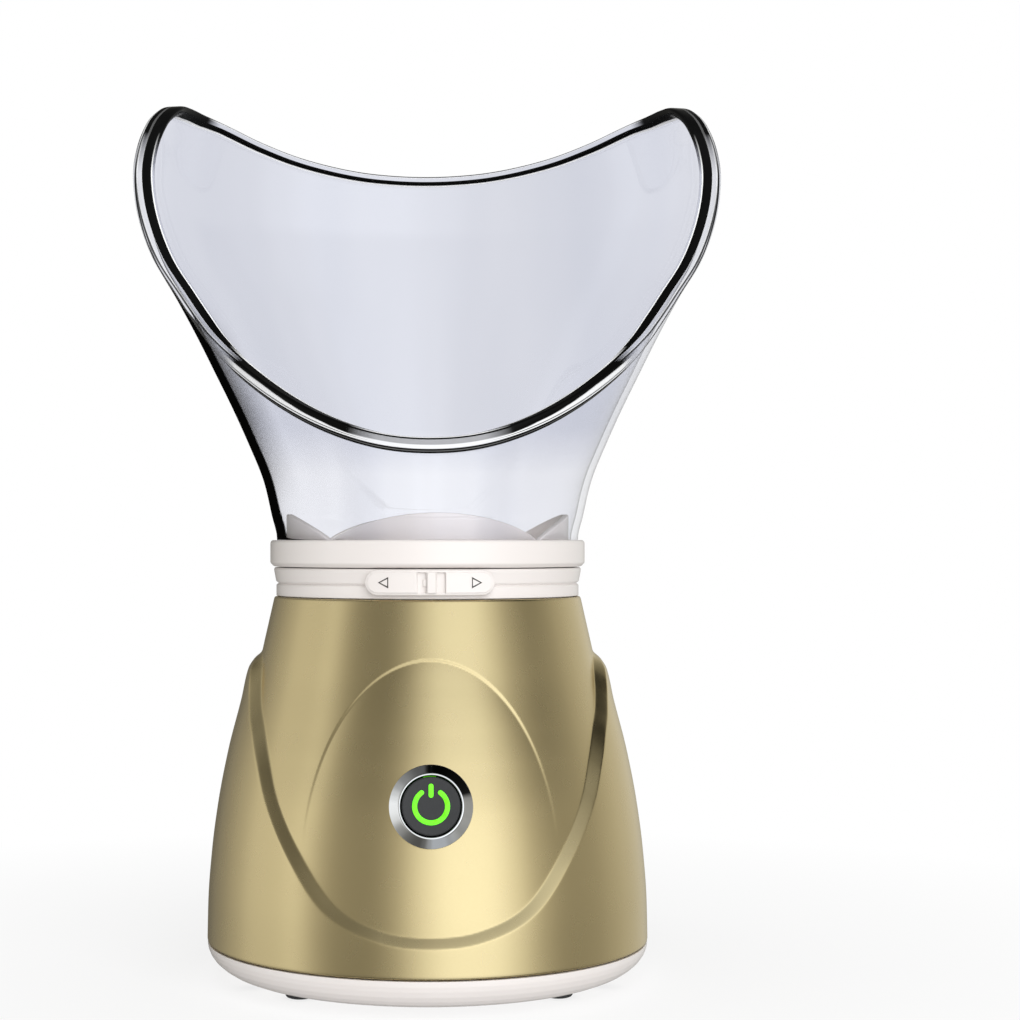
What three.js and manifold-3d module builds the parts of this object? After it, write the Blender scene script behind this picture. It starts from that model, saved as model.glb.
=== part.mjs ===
// Facial steamer: a water tank and heater in a pearl-gold body on a white base,
// with a steam slider, a swivelling collar and a clear face mask that lifts off.
// Millimetres, +Z up, front towards -Y, origin on the surface under the centre.

import * as THREE from 'three';
import { mergeVertices } from 'three/addons/utils/BufferGeometryUtils.js';
import Module from 'manifold-3d';

const wasm = await Module();
wasm.setup();

// ---- Driving dimensions ----
const BODY_Z0 = 12.8;
const BODY_Z1 = 124.6;
const LIP_Z = 123.6;
const LIP_R = 45.2;
const NECK_Z1 = 134.1;
const COLLAR_R = 51.7;
const COLLAR_Z0 = 134.4;
const COLLAR_Z1 = 143.0;
const MASK_Z0 = 143.3;
const MASK_WALL = 2.3;
const RIM_BEAD = 1.0;
const BUTTON_Z = 63.2;
const BUTTON_TILT = THREE.MathUtils.degToRad(11.4);
const SLIDER_HALF = 22.5;
const CORD_D = 5.6;
const CORD_Z = 20.0;
const COIL_X = -39.9;
const COIL_Y = 152.0;
const COIL_IN = 22.5;
const COIL_OUT = 42.8;
const TURN_OUT = 36.9;

// Side silhouette of the raised outer surface: height, radius.
const SIDE = [
  [12.8, 72.2], [26, 71.9], [42, 70.7], [58, 68.6], [75, 65.3], [91, 61.2],
  [101, 58.9], [104, 57.1], [107, 54.3], [124.6, 50.3],
];
// The lower front field: height, radius.
const FRONT = [
  [12.8, 71.0], [26, 70.4], [42, 68.85], [60, 66.0], [75, 62.45], [85, 59.8], [98, 56.4], [107, 54.3],
  [124.6, 50.3],
];
// The U-shaped edge of the raised surface: degrees from the front, height.
const U_EDGE = [
  [0, 23.4], [12, 25], [26, 33], [37, 47.5], [48, 64], [54, 74], [60, 82.5], [66, 89], [70.5, 94.5], [75, 100.5],
  [80, 105], [90, 107],
];
// The thumb scoop: its foot, its top and its half-width in degrees.
const ARCH_Z0 = 44;
const ARCH_Z1 = 107;
const ARCH_HALF = 35.6;
const ARCH_DEPTH = 0.6;
// Mask silhouette half-width at each height.
const MASK_SIDE = [
  [143.3, 49.8], [151, 51.5], [163, 54.4], [174.5, 59.1], [186, 64.3], [198, 70.2], [210, 76.2],
  [222, 82.7], [233, 89], [245, 93.3], [257, 95.6], [265, 96], [273, 95.1], [281, 93.3], [290, 91],
];
// Height of the mask rim: degrees from the front, height.
const RIM = [
  [0, 174.3], [14, 175.4], [28, 179], [42, 185], [55, 193], [64, 200.3], [70, 206], [74, 211], [77.5, 218.5],
  [80.5, 228.5], [83.5, 241.5], [86, 254], [88.5, 265.5], [91, 275], [94, 282.2], [98, 287.2], [102, 289.6],
  [106, 290], [111, 289.4], [120, 287], [130, 283.1], [140, 279.5], [150, 276.9], [160, 275.1], [170, 274.2],
  [180, 273.9],
];

// ---- Colours ----
const paint = (color, roughness, metalness = 0, extra = {}) =>
  new THREE.MeshStandardMaterial({ color, roughness, metalness, ...extra });
const M = {
  gold: paint(0xd9cfa6, 0.28, 0.6),
  white: paint(0xf1ece8, 0.35),
  inner: paint(0xe6e4e0, 0.5),
  clear: paint(0xd9dcec, 0.05, 0, { transparent: true, opacity: 0.35 }),
  chrome: paint(0xdfe1e4, 0.08, 1),
  dark: paint(0x3c3f43, 0.4),
  green: paint(0x35d04a, 0.4),
  rubber: paint(0x232323, 0.8),
  seal: paint(0xc9ccd0, 0.7),
  alloy: paint(0xb9bcc0, 0.4, 0.9),
  steel: paint(0xa9abae, 0.35, 1),
  board: paint(0x1f6b3f, 0.6),
  black: paint(0x1b1b1d, 0.45),
  ceramic: paint(0xe9e6dd, 0.7),
};

const group = new THREE.Group();
group.name = 'facial_steamer';

// ---- Helpers ----
// Monotone cubic through a table's points.
const smoothTable = (table) => {
  const n = table.length;
  const d = [];
  for (let i = 0; i < n - 1; i += 1) {
    d.push((table[i + 1][1] - table[i][1]) / (table[i + 1][0] - table[i][0]));
  }
  const m = [d[0]];
  for (let i = 1; i < n - 1; i += 1) {
    m.push(d[i - 1] * d[i] <= 0 ? 0 : (2 * d[i - 1] * d[i]) / (d[i - 1] + d[i]));
  }
  m.push(d[n - 2]);
  return (x) => {
    if (x <= table[0][0]) return table[0][1];
    if (x >= table[n - 1][0]) return table[n - 1][1];
    let i = 0;
    while (x > table[i + 1][0]) i += 1;
    const h = table[i + 1][0] - table[i][0];
    const t = (x - table[i][0]) / h;
    const a = (1 + 2 * t) * (1 - t) ** 2 * table[i][1] + t * (1 - t) ** 2 * h * m[i];
    return a + t * t * (3 - 2 * t) * table[i + 1][1] + t * t * (t - 1) * h * m[i + 1];
  };
};

const clamp = (x, lo = 0, hi = 1) => Math.min(hi, Math.max(lo, x));
const rad = THREE.MathUtils.degToRad;

// An indexed, welded geometry whose faces point out.
function weld(source) {
  const g = source.clone();
  for (const name of Object.keys(g.attributes)) {
    if (name !== 'position') g.deleteAttribute(name);
  }
  g.clearGroups();
  const merged = mergeVertices(g, 1e-4);
  const p = merged.attributes.position;
  const idx = [];
  let volume = 0;
  const a = new THREE.Vector3();
  const b = new THREE.Vector3();
  const c = new THREE.Vector3();
  for (let i = 0; i < merged.index.count; i += 3) {
    const t = [0, 1, 2].map((k) => merged.index.getX(i + k));
    if (t[0] === t[1] || t[1] === t[2] || t[0] === t[2]) continue;
    a.fromBufferAttribute(p, t[0]);
    b.fromBufferAttribute(p, t[1]);
    c.fromBufferAttribute(p, t[2]);
    volume += a.dot(b.cross(c));
    idx.push(...t);
  }
  if (volume < 0) {
    for (let i = 0; i < idx.length; i += 3) {
      [idx[i + 1], idx[i + 2]] = [idx[i + 2], idx[i + 1]];
    }
  }
  merged.setIndex(idx);
  return merged;
}

function toManifold(source) {
  const g = weld(source);
  return new wasm.Manifold(new wasm.Mesh({
    numProp: 3,
    vertProperties: new Float32Array(g.attributes.position.array),
    triVerts: new Uint32Array(g.index.array),
  }));
}

function fromManifold(solid) {
  const mesh = solid.getMesh();
  const g = new THREE.BufferGeometry();
  g.setAttribute('position', new THREE.BufferAttribute(new Float32Array(mesh.vertProperties), 3));
  g.setIndex(Array.from(mesh.triVerts));
  g.computeVertexNormals();
  return g;
}

function combine(start, added = [], removed = []) {
  let solid = toManifold(start);
  for (const g of added) solid = solid.add(toManifold(g));
  for (const g of removed) solid = solid.subtract(toManifold(g));
  return fromManifold(solid);
}

// A solid of revolution about Z from [radius, height] points; the profile closes on itself.
function ring(profile, segments = 48) {
  const pts = profile.map(([r, z]) => new THREE.Vector2(r, z));
  if (profile[0][0] > 0 || profile[profile.length - 1][0] > 0) pts.push(pts[0].clone());
  return weld(new THREE.LatheGeometry(pts, segments).rotateX(Math.PI / 2));
}

const disc = (r, z0, z1, n = 24) => ring([[0, z0], [r, z0], [r, z1], [0, z1]], n);
const tubeRing = (r0, r1, z0, z1, n = 48) => ring([[r0, z0], [r1, z0], [r1, z1], [r0, z1]], n);
const block = (x, y, z) => new THREE.BoxGeometry(x, y, z);
const at = (g, x, y, z) => g.clone().translate(x, y, z);

// A closed surface from rows of points, each row a ring, the last row joined to the first.
function wrap(rows) {
  const n = rows[0].length;
  const g = new THREE.BufferGeometry();
  g.setAttribute('position', new THREE.Float32BufferAttribute(rows.flat(2), 3));
  const idx = [];
  for (let j = 0; j < rows.length; j += 1) {
    const k = (j + 1) % rows.length;
    for (let i = 0; i < n; i += 1) {
      const l = (i + 1) % n;
      idx.push(j * n + i, j * n + l, k * n + l, j * n + i, k * n + l, k * n + i);
    }
  }
  g.setIndex(idx);
  return weld(g);
}

function add(name, geometry, material) {
  const g = geometry.clone();
  g.computeVertexNormals();
  const mesh = new THREE.Mesh(g, material);
  mesh.name = name;
  group.add(mesh);
  return mesh;
}

// Turns a geometry made about +Z so that +Z points along the button's outward axis.
const BUTTON_AXIS = new THREE.Vector3(0, -Math.cos(BUTTON_TILT), Math.sin(BUTTON_TILT));
const sideRadius = smoothTable(SIDE);
const frontRadius = smoothTable(FRONT);
const uEdge = smoothTable(U_EDGE);
const BUTTON_Y = 0.2 - frontRadius(BUTTON_Z);
const BUTTON_FRAME = new THREE.Matrix4().makeRotationX(Math.PI / 2 - BUTTON_TILT)
  .setPosition(0, BUTTON_Y, BUTTON_Z);
const onButton = (g) => g.clone().applyMatrix4(BUTTON_FRAME);

// ---- Body shell ----
function bodyRadius(theta, z) {
  const t = Math.abs(theta);
  const folded = t > 90 ? 180 - t : t;
  const slope = (uEdge(folded + 0.5) - uEdge(folded - 0.5)) / rad(1) / 62;
  const away = (uEdge(folded) - z) / Math.hypot(1, slope);
  const raised = clamp((away + 1.6) / 3.2);
  let r = frontRadius(z) + (sideRadius(z) - frontRadius(z)) * raised;
  const u = (z - ARCH_Z0) / (ARCH_Z1 - ARCH_Z0);
  if (t < 90 && u > 0 && u < 1) {
    const half = ARCH_HALF * (1 - u ** 2.8) ** 0.52;
    const inside = clamp(((half - t) * rad(1) * 56) / 8);
    const depth = ARCH_DEPTH * clamp((z - 50) / 48) * clamp((ARCH_Z1 - z) / 7);
    r -= depth * (1 - (1 - inside) ** 2);
  }
  return r;
}

function bodyShell() {
  const heights = [
    BODY_Z0, 22, 27, 36, 46, 56, 66, 76, 86, 95, 101, 104.5, 107, BODY_Z1,
  ];
  const n = 48;
  const rows = heights.map((z) => Array.from({ length: n }, (_, i) => {
    const theta = (360 * i) / n - 180;
    const r = bodyRadius(theta, z);
    return [r * Math.sin(rad(theta)), -r * Math.cos(rad(theta)), z];
  }));
  const inside = [
    [48.6, BODY_Z1], [48.3, LIP_Z], [LIP_R, LIP_Z], [LIP_R, 121.8], [48.2, 119.5], [50.2, 106],
    [58.6, 75], [65.6, 42], [68.6, BODY_Z0],
  ];
  const inner = inside.map(([r, z]) => Array.from({ length: n }, (_, i) => {
    const theta = rad((360 * i) / n - 180);
    return [r * Math.sin(theta), -r * Math.cos(theta), z];
  }));
  return wrap([...rows, ...inner]);
}

const BASE_SCREWS = [[56.5, 21], [-56.5, 21], [56.5, -21], [-56.5, -21]];
const bossAt = ([x, y]) => at(disc(4.6, 13.6, 34, 8), x, y, 0);
const bossRib = ([x, y]) => {
  const g = block(8, 2.4, 18);
  g.rotateZ(Math.atan2(y, x));
  const k = 64.9 / Math.hypot(x, y);
  return at(g, x * k, y * k, 24);
};
const SWITCH_POSTS = [-18, 18];
const postAt = (x) => onButton(at(disc(2.6, -19.7, -4.6, 8), x, 0, 0));

add('body_shell', combine(
  bodyShell(),
  [
    ...BASE_SCREWS.map(bossAt),
    ...BASE_SCREWS.map(bossRib),
    ...SWITCH_POSTS.map(postAt),
  ],
  [
    ...BASE_SCREWS.map(([x, y]) => at(disc(1.7, 12, 28, 8), x, y, 0)),
    ...SWITCH_POSTS.map((x) => onButton(at(disc(1.5, -21, -8, 8), x, 0, 0))),
    onButton(disc(10.9, -12, 12, 40)),
    at(disc(5.6, -10, 10, 24).rotateX(Math.PI / 2), 0, 70, CORD_Z),
  ],
), M.gold);

// ---- Base cover and feet ----
const coverProfile = [
  [0, 2], [57, 2], [63, 2.9], [68, 5.4], [71.2, 9], [72.1, 12.3],
  [69.6, 12.3], [68.6, 9.8], [65.4, 6.8], [60.4, 4.8], [0, 4.3],
];
const FEET = {
  foot_front_left: [-41, -36],
  foot_front_right: [41, -36],
  foot_rear_left: [-41, 36],
  foot_rear_right: [41, 36],
};
const CLAMP_SCREWS = [-10.5, 10.5];
const BOARD_SCREWS = [[-26, -12], [26, -12]];
add('base_cover', combine(
  ring(coverProfile, 36),
  [
    ...BASE_SCREWS.map(([x, y]) => at(disc(4.6, 4, 13.2, 8), x, y, 0)),
    ...CLAMP_SCREWS.map((x) => at(disc(3.4, 4, 18.4, 10), x, 54, 0)),
    at(block(26, 6, 12.6), 0, 54, 10.2),
    ...BOARD_SCREWS.map(([x, y]) => at(disc(3, 4, 8.2, 8), x, y, 0)),
  ],
  [
    ...BASE_SCREWS.map(([x, y]) => at(disc(1.9, 1, 14, 8), x, y, 0)),
    ...BASE_SCREWS.map(([x, y]) => at(disc(3.7, 1, 4.9, 8), x, y, 0)),
    ...Object.values(FEET).map(([x, y]) => at(disc(4.9, 1, 2.9, 24), x * 0.985, y * 0.985, 0)),
    ...CLAMP_SCREWS.map((x) => at(disc(1.5, 10, 19, 8), x, 54, 0)),
    ...BOARD_SCREWS.map(([x, y]) => at(disc(1.3, 4.9, 9, 8), x, y, 0)),
    at(disc(3.1, -8, 8, 20).rotateX(Math.PI / 2), 0, 54, CORD_Z - 0.2),
  ],
), M.white);
for (const [name, [x, y]] of Object.entries(FEET)) {
  add(name, at(ring([[0, 0], [4.1, 0], [4.6, 0.5], [4.6, 2.6], [0, 2.6]], 16), x * 0.985, y * 0.985, 0), M.rubber);
}

// A pan-head screw pointing up, its head's underside at z = 0.
const screw = (headR, headH, shankR, length, n = 8) =>
  ring([[0, -headH], [headR * 0.8, -headH], [headR, 0], [shankR, 0], [shankR, length], [0, length]], n);

BASE_SCREWS.forEach(([x, y], i) => {
  add(`base_screw_${i + 1}`, at(screw(3.3, 1.9, 1.5, 20), x, y, 5.2).translate(0, 0, -0.6), M.steel);
});

// ---- Neck, slider and shutter ----
const neckProfile = [
  [48.7, 126.0], [48.7, 124.9], [49.7, 124.9], [49.7, 128.4], [48.9, 129.0],
  [49.8, 129.6], [50.5, 133.4], [50.2, NECK_Z1], [45.2, NECK_Z1], [45.2, 140.6],
  [43.0, 140.6], [43.0, 132.4], [46.4, 132.4], [46.4, 126.0],
];
// A plate bent around the neck between two radii, with round ends.
function bentPlate(r0, r1, halfDeg, z0, z1, columns = 16) {
  const mid = (z0 + z1) / 2;
  const h = (z1 - z0) / 2;
  const half = rad(halfDeg) * ((r0 + r1) / 2);
  const round = Math.min(h, half / 2);
  const stations = [half, half - 0.1 * round, half - 0.4 * round, half - round];
  const steps = Math.max(2, columns - 8);
  for (let i = 1; i < steps; i += 1) stations.push((half - round) * (1 - (2 * i) / steps));
  stations.push(round - half, 0.4 * round - half, 0.1 * round - half, -half);
  const pos = [];
  for (const s of stations) {
    const u = clamp((Math.abs(s) - half + round) / round);
    const tall = h * Math.max(0.12, Math.sqrt(1 - u * u));
    const a = s / ((r0 + r1) / 2);
    for (const [r, z] of [[r0, mid - tall], [r0, mid + tall], [r1, mid + tall], [r1, mid - tall]]) {
      pos.push(r * Math.sin(a), -r * Math.cos(a), z);
    }
  }
  const last = (stations.length - 1) * 4;
  const idx = [0, 2, 1, 0, 3, 2, last, last + 1, last + 2, last, last + 2, last + 3];
  for (let c = 0; c < stations.length - 1; c += 1) {
    for (let k = 0; k < 4; k += 1) {
      const a = c * 4 + k;
      const b = c * 4 + ((k + 1) % 4);
      idx.push(a, b, b + 4, a, b + 4, a + 4);
    }
  }
  const g = new THREE.BufferGeometry();
  g.setAttribute('position', new THREE.Float32BufferAttribute(pos, 3));
  g.setIndex(idx);
  return weld(g);
}

const neckSlot = bentPlate(44, 52, 13.5, 128.4, 131.4, 12);
add('neck_ring', combine(ring(neckProfile, 36), [], [neckSlot]), M.white);
add('steam_slider', combine(
  bentPlate(50.9, 52.3, SLIDER_HALF, 126.2, 133.7),
  [at(block(4.4, 4.8, 2.2), 0, -49.3, 129.9), at(block(3.6, 1.9, 6.1), 0, -52.4, 129.95)],
), M.white);
add('shutter_ring', combine(
  tubeRing(44.5, 46.0, 126.8, 132.0, 30),
  [],
  [60, 120, 180, 240, 300].map((a) => at(block(12, 8, 2.4), 0, -45.2, 129.5).rotateZ(rad(a))),
), M.inner);

// ---- Collar with its crown, and the seal it turns on ----
add('swivel_seal', ring([
  [45.5, 134.6], [46.6, 134.6], [46.2, 137.0], [46.6, 139.8], [45.5, 139.8],
], 28), M.seal);
const collarProfile = [
  [47.1, COLLAR_Z0], [50.5, COLLAR_Z0], [COLLAR_R, 135.6], [COLLAR_R, 142.3], [51.1, COLLAR_Z1],
  [43.3, COLLAR_Z1], [43.3, 141.0], [47.1, 141.0],
];
function crown() {
  const n = 40;
  const top = Array.from({ length: n }, (_, i) => {
    const a = (2 * Math.PI * i) / n;
    return COLLAR_Z1 - 0.6 + 9.1 * Math.abs(Math.cos(2 * (a - rad(3)))) ** 0.75;
  });
  const row = (r, z) => top.map((_, i) => {
    const a = (2 * Math.PI * i) / n;
    return [r * Math.sin(a), -r * Math.cos(a), typeof z === 'number' ? z : z(i)];
  });
  return wrap([row(43.6, 141.6), row(46.4, 141.6), row(46.4, (i) => top[i] + 0.01), row(44.4, (i) => top[i])]);
}
add('mask_collar', combine(ring(collarProfile, 40), [crown()]), M.white);

// ---- Mask ----
const maskSide = smoothTable(MASK_SIDE);
const rimHeight = smoothTable(RIM);
function maskPoint(phi, z, inset) {
  const t = Math.abs(phi);
  const half = maskSide(z) - inset;
  const blend = clamp((z - MASK_Z0) / 110);
  const depth = t < 90 ? 70.5 : 67.5;
  const limit = 49.8 + (depth - 49.8) * blend ** 1.15;
  const b = z < 150 ? half : Math.min(half, limit - inset);
  const a = rad(phi);
  const r = (half * b) / Math.hypot(b * Math.sin(a), half * Math.cos(a));
  return [r * Math.sin(a), -r * Math.cos(a), z];
}
function mask() {
  const angles = [
    0, 13, 26, 39, 51, 61, 68, 73, 77, 80, 83, 86, 89, 92.5, 98, 106, 114, 122, 131, 140, 150, 160, 170, 180,
  ];
  const phis = [...angles.slice(1, -1).reverse().map((a) => -a), ...angles];
  const levels = 9;
  const line = (inset, k) => phis.map((phi) => {
    const top = rimHeight(Math.abs(phi));
    const z = MASK_Z0 + (top - MASK_Z0) * k;
    return maskPoint(phi, z, inset);
  });
  const rows = [];
  for (let j = 0; j <= levels; j += 1) {
    const k = j / levels;
    rows.push(line(j === levels ? 0.3 - RIM_BEAD : 0.3, k));
    if (j === levels - 1) rows.push(line(0.3, 0.965));
  }
  for (let j = levels; j >= 0; j -= 1) rows.push(line(0.3 + MASK_WALL, j / levels));
  return wrap(rows);
}
add('face_mask', mask(), M.clear);

// ---- Steam hood, tank and heater ----
add('steam_hood', combine(
  ring([[7, 138.6], [9.2, 138.6], [9.6, 137.2], [20, 136.4], [32, 134.2], [39, 131.6], [42.4, 131.3],
    [42.4, 129.9], [38.4, 129.9], [31.2, 132.6], [19.6, 134.8], [7, 135.6]], 24),
  [],
  [45, 135, 225, 315].map((a) => at(block(9, 3, 12), 0, -27, 135).rotateZ(rad(a))),
), M.white);
const DISH_SCREWS = [90, 210, 330].map((a) => [30 * Math.cos(rad(a)), 30 * Math.sin(rad(a))]);
add('water_tank', combine(
  ring([[20.5, 70.6], [37.4, 70.6], [44.3, 119], [44.3, 123.9], [48.2, 123.9], [48.2, 125.6], [44.1, 125.6],
    [44.1, 129.6], [42.4, 129.6], [42.4, 119.2], [35.8, 72.4], [20.5, 72.4]], 28),
  DISH_SCREWS.map(([x, y]) => at(disc(3.2, 69.2, 75, 8), x, y, 0)),
  DISH_SCREWS.map(([x, y]) => at(disc(1.7, 68, 73.4, 8), x, y, 0)),
), M.white);
add('tank_gasket', tubeRing(20.8, 26, 69.2, 70.3, 28), M.seal);
const HEATER_SCREWS = [-17.5, 17.5];
add('heater_dish', combine(
  ring([[0, 60], [18.4, 60], [20.4, 62], [20.4, 67.3], [33.6, 67.3], [33.6, 68.9], [18.8, 68.9],
    [18.8, 62.6], [17.6, 61.6], [0, 61.6]], 24),
  HEATER_SCREWS.map((x) => at(disc(2.8, 56.8, 61, 10), x, 0, 0)),
  [
    ...DISH_SCREWS.map(([x, y]) => at(disc(1.8, 66, 70, 8), x, y, 0)),
    ...HEATER_SCREWS.map((x) => at(disc(1.4, 56, 60.4, 8), x, 0, 0)),
  ],
), M.alloy);
DISH_SCREWS.forEach(([x, y], i) => {
  add(`dish_screw_${i + 1}`, at(screw(2.9, 1.7, 1.4, 6), x, y, 67.0), M.steel);
});
add('ptc_heater', at(block(28, 18, 3.6), 0, 0, 57.9), M.ceramic);
add('heater_clamp', combine(
  at(block(41, 11, 1.4), 0, 0, 55.2),
  [],
  HEATER_SCREWS.map((x) => at(disc(1.6, 53, 58, 8), x, 0, 0)),
), M.steel);
HEATER_SCREWS.forEach((x, i) => {
  add(`heater_screw_${i + 1}`, at(screw(2.5, 1.5, 1.1, 5.4), x, 0, 54.2), M.steel);
});
add('thermostat', combine(
  at(disc(8, 47, 54.2, 28), 0, 0, 0),
  [at(block(4, 0.8, 8), -4.5, 0, 43.6), at(block(4, 0.8, 8), 4.5, 0, 43.6)],
), M.black);
add('thermal_fuse', at(ring([[0, -6], [2.1, -6], [2.1, 6], [0, 6]], 14).rotateY(Math.PI / 2), 0, 12.5, 57.5), M.ceramic);

// ---- Power button ----
add('button_bezel', onButton(combine(
  ring([[10.2, -10.6], [10.6, -10.6], [10.6, 0.9], [12.5, 0.9], [12.3, 1.7], [10.1, 3.6], [9.6, 3.3], [9.4, 2.2],
    [9.4, -10.6]], 28),
)), M.chrome);
add('bezel_nut', onButton(tubeRing(10.9, 14.2, -9.8, -7.2, 20)), M.steel);
add('power_button', onButton(ring([
  [0, -8.6], [2.2, -8.6], [2.2, -2.2], [6.2, -2.2], [6.2, -3.6], [8.7, -3.6], [8.7, 2.2], [8.2, 2.7],
  [0, 2.5],
], 24)), M.dark);
// The ring of the power symbol, open at the top.
function iconRing() {
  const shape = new THREE.Shape();
  const gap = rad(30.5);
  const from = Math.PI / 2 + gap;
  const to = Math.PI / 2 - gap + 2 * Math.PI;
  shape.absarc(0, 0, 5.5, from, to, false);
  shape.absarc(0, 0, 4.1, to, from, true);
  return new THREE.ExtrudeGeometry(shape, { depth: 0.3, bevelEnabled: false, curveSegments: 18 });
}
add('power_icon_ring', onButton(at(weld(iconRing()), 0, 0, 2.9)), M.green);
add('power_icon_bar', onButton(at(block(1.4, 4, 0.3), 0, 4.8, 3.05)), M.green);

// A bent wire or lead: a round section along a curve.
function wire(curve, radius, steps, sides) {
  const shape = new THREE.Shape();
  for (let i = 0; i < sides; i += 1) {
    const a = (2 * Math.PI * i) / sides;
    if (i === 0) shape.moveTo(radius, 0);
    else shape.lineTo(radius * Math.cos(a), radius * Math.sin(a));
  }
  return weld(new THREE.ExtrudeGeometry(shape, { steps, bevelEnabled: false, extrudePath: curve }));
}
const V = (x, y, z) => new THREE.Vector3(x, y, z);
class Helix extends THREE.Curve {
  getPoint(t, target = new THREE.Vector3()) {
    const a = 2 * Math.PI * 4 * t;
    return target.set(4 * Math.cos(a), 4 * Math.sin(a), -11.4 + 8.2 * t);
  }
}
add('button_spring', onButton(wire(new Helix(), 0.35, 36, 5)), M.steel);
add('power_switch', onButton(combine(
  at(block(12, 12, 6.6), 0, 0, -15.8),
  [disc(1.8, -13, -10.5, 16)],
)), M.black);
add('indicator_led', onButton(at(ring([[0, -19], [1.5, -19], [1.5, -15.5], [1.0, -14.6], [0, -14.3]], 14), 0, 8.3, 0)), M.green);
add('switch_board', onButton(combine(
  at(block(44, 22, 1.6), 0, 0, -20.9),
  [],
  SWITCH_POSTS.map((x) => at(disc(1.7, -22, -19, 8), x, 0, 0)),
)), M.board);
SWITCH_POSTS.forEach((x, i) => {
  add(`board_screw_${i + 1}`, onButton(at(screw(2.6, 1.5, 1.2, 8), x, 0, -22.0)), M.steel);
});

// ---- Electrics in the base ----
add('power_board', combine(
  at(block(62, 34, 1.6), 0, -12, 9.3),
  [],
  BOARD_SCREWS.map(([x, y]) => at(disc(1.6, 8, 11, 8), x, y, 0)),
), M.board);
BOARD_SCREWS.forEach(([x, y], i) => {
  add(`power_board_screw_${i + 1}`, at(screw(2.6, 1.5, 1.1, 4.6).rotateX(Math.PI), x, y, 10.4), M.steel);
});
add('terminal_block', at(block(22, 12, 11), 0, -3, 15.9), M.ceramic);
add('cord_clamp', combine(
  at(block(28, 7, 3.4), 0, 54, 24.4),
  [at(block(28, 7, 4.6), 0, 54, 21.2)],
  [
    ...CLAMP_SCREWS.map((x) => at(disc(1.8, 17, 28, 8), x, 54, 0)),
    at(disc(3.15, -8, 8, 20).rotateX(Math.PI / 2), 0, 54, CORD_Z),
    at(block(6.3, 9, 4), 0, 54, 18.2),
  ],
), M.white);
CLAMP_SCREWS.forEach((x, i) => {
  add(`clamp_screw_${i + 1}`, at(screw(3, 1.8, 1.3, 14).rotateX(Math.PI), x, 54, 26.4), M.steel);
});
const leadPath = (x, xe) => new THREE.CatmullRomCurve3([
  V(x, 3.6, 17), V(x, 9, 17.6), V(x * 1.6, 15, 24), V(xe, 18, 38), V(xe, 15, 50), V(xe, 9.7, 57.4),
]);
add('heater_lead_1', wire(leadPath(-5, -11), 0.9, 12, 6), M.rubber);
add('heater_lead_2', wire(leadPath(5, 11), 0.9, 12, 6), M.rubber);

// ---- Mains cord ----
add('strain_relief', combine(
  ring([[0, 62.0], [7.4, 62.0], [7.4, 65.6], [5.2, 65.6], [5.2, 72.4], [7.2, 72.4], [6.6, 74.4], [5.2, 76],
    [3.9, 93.5], [0, 93.5]], 16)
    .rotateX(-Math.PI / 2).translate(0, 0, CORD_Z),
  [],
  [at(disc(3.1, -60, 60, 16).rotateX(Math.PI / 2), 0, 80, CORD_Z)],
), M.rubber);

// The lead goes straight out, then down to the surface, and meets the coil at a tangent.
const CZ = CORD_D / 2 + 0.1;
const BEND_R = 23;
const BEND_Y = 94;
const BEND_A = Math.acos(1 - (CORD_Z - CZ) / 2 / BEND_R);
const FLOOR_Y = BEND_Y + 2 * BEND_R * Math.sin(BEND_A);
const outPoints = [V(0, 47, CORD_Z), V(0, 60, CORD_Z), V(0, 78, CORD_Z), V(0, BEND_Y, CORD_Z)];
for (let i = 1; i <= 5; i += 1) {
  const a = (BEND_A * i) / 5;
  outPoints.push(V(0, BEND_Y + BEND_R * Math.sin(a), CORD_Z - BEND_R * (1 - Math.cos(a))));
}
for (let i = 4; i >= 0; i -= 1) {
  const a = (BEND_A * i) / 5;
  outPoints.push(V(0, FLOOR_Y - BEND_R * Math.sin(a), CZ + BEND_R * (1 - Math.cos(a))));
}
add('mains_cord', wire(new THREE.CatmullRomCurve3(outPoints, false, 'centripetal'), CORD_D / 2, 30, 8), M.black);

add('cord_coil', ring([
  [COIL_IN, 1.9], [COIL_IN + 1.8, 0.1], [COIL_OUT - 1.8, 0.1], [COIL_OUT, 1.9],
  [COIL_OUT, 9.6], [COIL_OUT - 1.8, 11.4], [COIL_IN + 1.8, 11.4], [COIL_IN, 9.6],
], 28).translate(COIL_X, COIL_Y, 0), M.black);

// The tail leaves the coil's top layer, crosses above the lead and bends round to the plug.
const TAIL_FROM = rad(-60);
const TAIL_R = 24;
const TAIL_TO = rad(-65);
const heading = TAIL_FROM + Math.PI / 2;
const along = (p, a, d, z) => V(p.x + d * Math.cos(a), p.y + d * Math.sin(a), z);
const leave = V(COIL_X + TURN_OUT * Math.cos(TAIL_FROM), COIL_Y + TURN_OUT * Math.sin(TAIL_FROM), 0);
const tailPoints = [along(leave, heading, 26.4, 8.7)];
const turnFrom = along(leave, heading, 28, 8.6);
for (let i = 0; i <= 8; i += 1) {
  const a = heading + ((TAIL_TO - heading) * i) / 8;
  const x = turnFrom.x + TAIL_R * (Math.sin(heading) - Math.sin(a));
  const y = turnFrom.y + TAIL_R * (Math.cos(a) - Math.cos(heading));
  const drop = (1 + Math.cos(Math.PI * clamp(i / 6))) / 2;
  tailPoints.push(V(x, y, CZ + 0.1 + 5.5 * drop));
}
const turnEnd = tailPoints[tailPoints.length - 1];
const PLUG_TILT = rad(19.5);
const PLUG_START = along(turnEnd, TAIL_TO, 13, 6.0);
tailPoints.push(along(turnEnd, TAIL_TO, 6, 3.5), along(turnEnd, TAIL_TO, 12.6, 5.8));
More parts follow.
